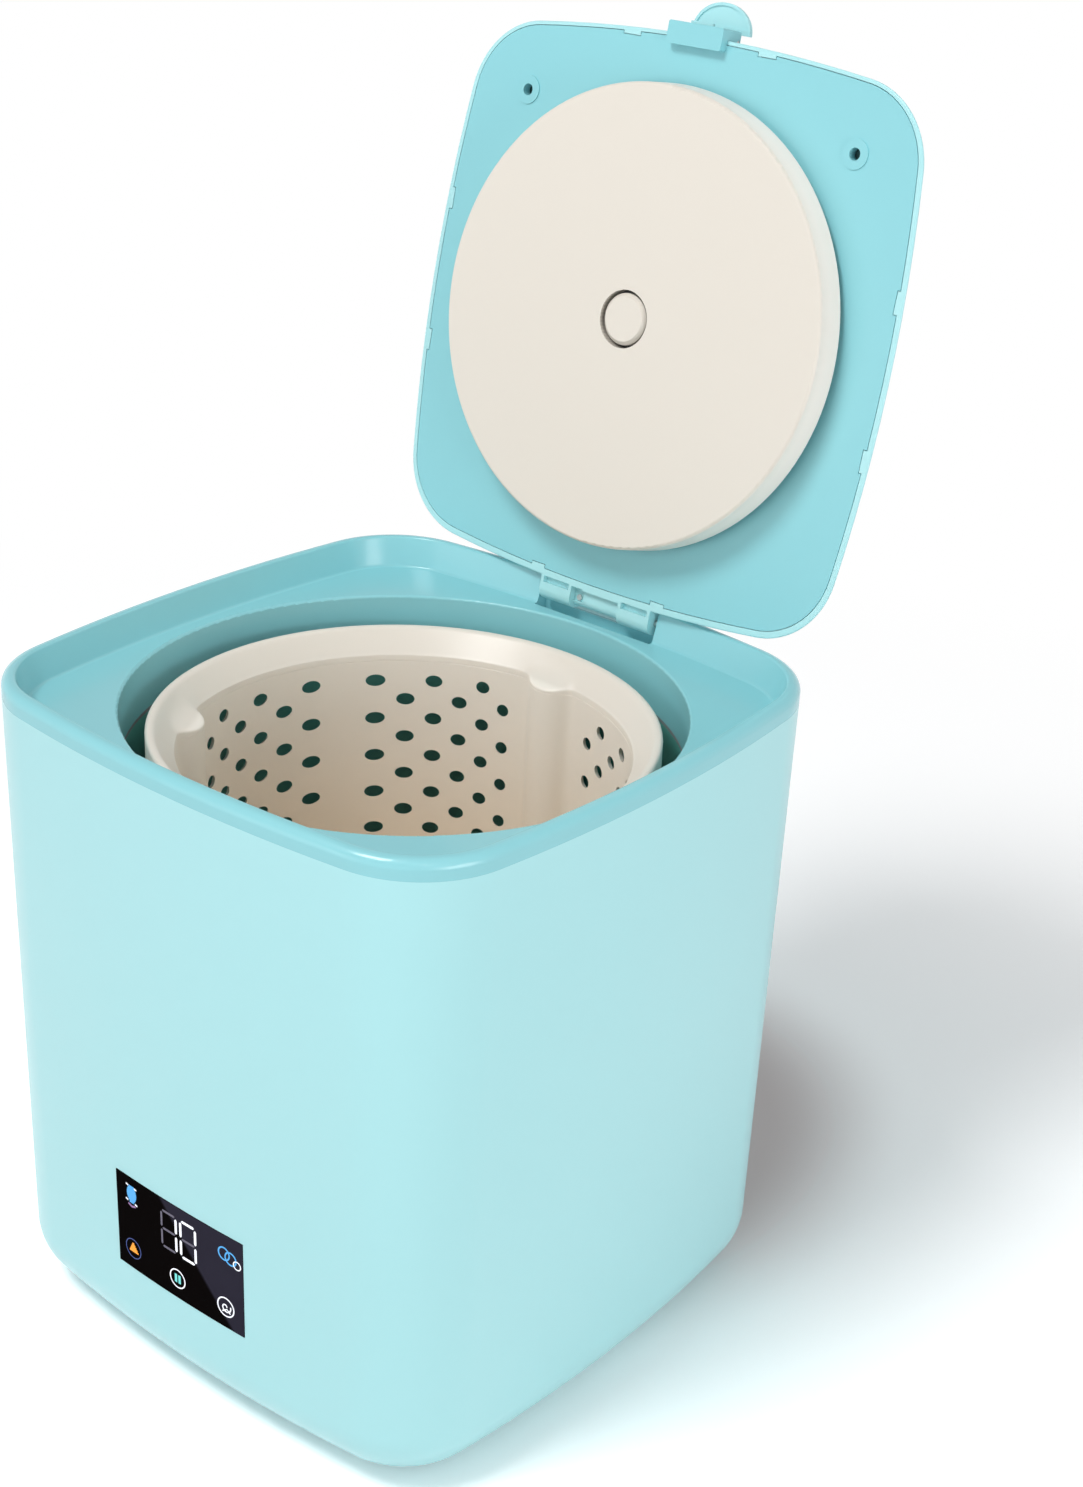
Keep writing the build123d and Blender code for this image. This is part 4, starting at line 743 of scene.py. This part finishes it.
def display_signs():
    """The lit time and the round programme signs."""
    white = lit("lit_white", (0.92, 0.94, 1.0), 0.95)
    display_time(white, lit("lit_dim", (0.22, 0.20, 0.27), 0.35))

    swirl = [(26.9 + r * cos(turn), 59.6 + r * sin(turn))
             for turn, r in ((i * 0.35, 0.5 + i * 0.125) for i in range(20))]
    drops = [[(x - 0.7, z + 0.2), (x + 0.7, z - 0.2)]
             for x, z in ((-29.6, 90.6), (-24.6, 90.2), (-30.0, 83.2), (-24.4, 82.6))]
    sign_of("white_signs", white,
            [(-0.4, 59.2, 4.3, 0.55), (26.9, 59.6, 4.4, 0.6), (33.6, 83.0, 1.9, 0.5)],
            [(swirl, 0.6), ([(25.0, 57.0), (27.6, 58.8), (29.4, 57.2)], 0.55)]
            + [(drop, 0.7) for drop in drops])

    garment = [2.9 * sin(pi * (0.16 + 0.72 * i / 8)) ** 0.8 for i in range(9)]
    sign_of("blue_signs", lit("lit_blue", (0.10, 0.42, 0.85), 0.8),
            [(26.6, 85.6, 2.9, 0.7), (30.2, 84.6, 2.9, 0.7)],
            [(row, 0.88) for row in rows_of(-27.0, 90.4, 0.925, garment, garment)])
    sign_of("navy_sign", lit("lit_navy", (0.08, 0.12, 0.38), 0.6), [(-27.3, 59.6, 4.6, 0.35)])
    sign_of("violet_sign", lit("lit_violet", (0.42, 0.24, 0.50), 0.5),
            strokes=[([(-29.2, 81.6), (-27.0, 80.8), (-24.8, 81.6)], 0.9)])
    left, right = ([slope * i for i in range(1, 6)] for slope in (0.45, 0.62))
    sign_of("orange_sign", lit("lit_orange", (1.0, 0.36, 0.04), 0.9),
            strokes=[(row, 0.86) for row in rows_of(-27.4, 62.0, 0.9, left, right)])
    sign_of("teal_sign", lit("lit_teal", (0.20, 0.75, 0.72), 0.8),
            strokes=[([(x, 61.2), (x, 57.2)], 1.35) for x in (-1.35, 0.75)])


def soft_floor():
    """A pale floor that fades to white away from the machine and keeps its soft shadow."""
    bpy.ops.mesh.primitive_grid_add(x_subdivisions=2, y_subdivisions=2, size=FLOOR_SIZE,
                                    location=(0, 0, 0))
    floor = bpy.context.object
    floor.name = "studio_floor"
    made = Finish("studio_floor", (0.80, 0.80, 0.80), 0.9, specular=0.0)
    seen = made.seen_by("Camera", "Glossy", "Transmission")
    far = made.length(made.place).above(FADE_R, FADE_SOFT)
    across, along, _ = made.parts(made.place)
    # Painted shadow: a darker oval behind the machine deepens its real shadow
    oval = made.vector(across / SHADE_HALF_X, (along - SHADE_Y) / SHADE_HALF_Y, 0.0)
    tone = made.mix(made.length(oval).above(1.0, SHADE_SOFT), FLOOR_SHADE, FLOOR_PALE)
    pale = made.node("ShaderNodeBsdfDiffuse", None, {"Color": tone})
    bounce = made.node("ShaderNodeBsdfDiffuse", None, {"Color": BOUNCE})
    white = made.node("ShaderNodeEmission", None, {"Color": WHITE, "Strength": 1.0})
    near = made.node("ShaderNodeMixShader", None, [seen, bounce, pale])
    whole = made.node("ShaderNodeMixShader", None, [seen * far, near, white])
    made.feed(made.nodes["Material Output"].inputs["Surface"], whole)
    floor.data.materials.append(made.material)


def new_lamp(name, kind, power, place, aim):
    """A lamp at a place, turned to face a point."""
    lamp = bpy.data.lights.new(name, kind)
    lamp.energy = power
    stand = new_thing(name, lamp)
    stand.location = place
    stand.rotation_euler = (Vector(aim) - Vector(place)).to_track_quat("-Z", "Y").to_euler()
    return lamp


def studio_light():
    """Pale surroundings, brighter level than above, three soft lamps and a spot on the basket."""
    world = bpy.context.scene.world or bpy.data.worlds.new("studio")
    bpy.context.scene.world = world
    world.use_nodes = True
    sky = Tree(world.node_tree)
    seen = sky.seen_by("Camera", "Transmission")
    height = sky.parts(sky.node("ShaderNodeTexCoord", output="Generated"))[2]
    level = height.ramp(0.0, HIGH_FROM, LEVEL_SKY, HIGH_SKY)
    ambient = sky.node("ShaderNodeBackground", None, {"Color": SKY, "Strength": level})
    white = sky.node("ShaderNodeBackground", None, {"Color": WHITE, "Strength": 1.0})
    mixer = sky.node("ShaderNodeMixShader", None, [seen, ambient, white])
    sky.feed(sky.nodes["World Output"].inputs["Surface"], mixer)
    for name, place, size, power in LAMPS:
        lamp = new_lamp(name, "AREA", power, place, LAMP_AIM)
        lamp.shape, lamp.size = "DISK", size
    spot = new_lamp("basket_spot", "SPOT", SPOT_POWER, SPOT_PLACE, SPOT_AIM)
    spot.spot_size, spot.spot_blend, spot.shadow_soft_size = SPOT_CONE, SPOT_BLEND, SPOT_SOFT


def photo_camera():
    """The camera at the photograph's angle, with its slight roll."""
    turn, rise, roll = CAMERA_TURN, CAMERA_RISE, CAMERA_ROLL
    away = Vector((sin(turn) * cos(rise), -cos(turn) * cos(rise), sin(rise)))
    right = Vector((cos(turn), sin(turn), 0))
    up = away.cross(right)
    across = right * cos(roll) + up * sin(roll)
    upright = up * cos(roll) - right * sin(roll)
    lens = bpy.data.cameras.new("photo_camera")
    lens.sensor_fit, lens.sensor_height, lens.lens = "VERTICAL", FILM_HIGH, LENS
    lens.clip_end = FAR_CLIP
    camera = new_thing("photo_camera", lens)
    turned = Matrix((across, upright, away)).transposed().to_4x4()
    camera.matrix_world = Matrix.Translation(CAMERA_PLACE) @ turned
    bpy.context.scene.camera = camera


for node in node_body:
    if node not in ("spin_basket", "balance_ring"):
        dress(finished_copy(node), node)
basket = new_thing("spin_basket_skin", basket_shell())
drill_basket(basket)
smooth_by_angle(basket, 30)
dress(basket, "spin_basket")
ring = new_thing("balance_ring_skin", collar())
smooth_by_angle(ring, 40)
dress(ring, "balance_ring")
display_signs()
soft_floor()
studio_light()
photo_camera()
bpy.context.scene.view_settings.view_transform = "Standard"
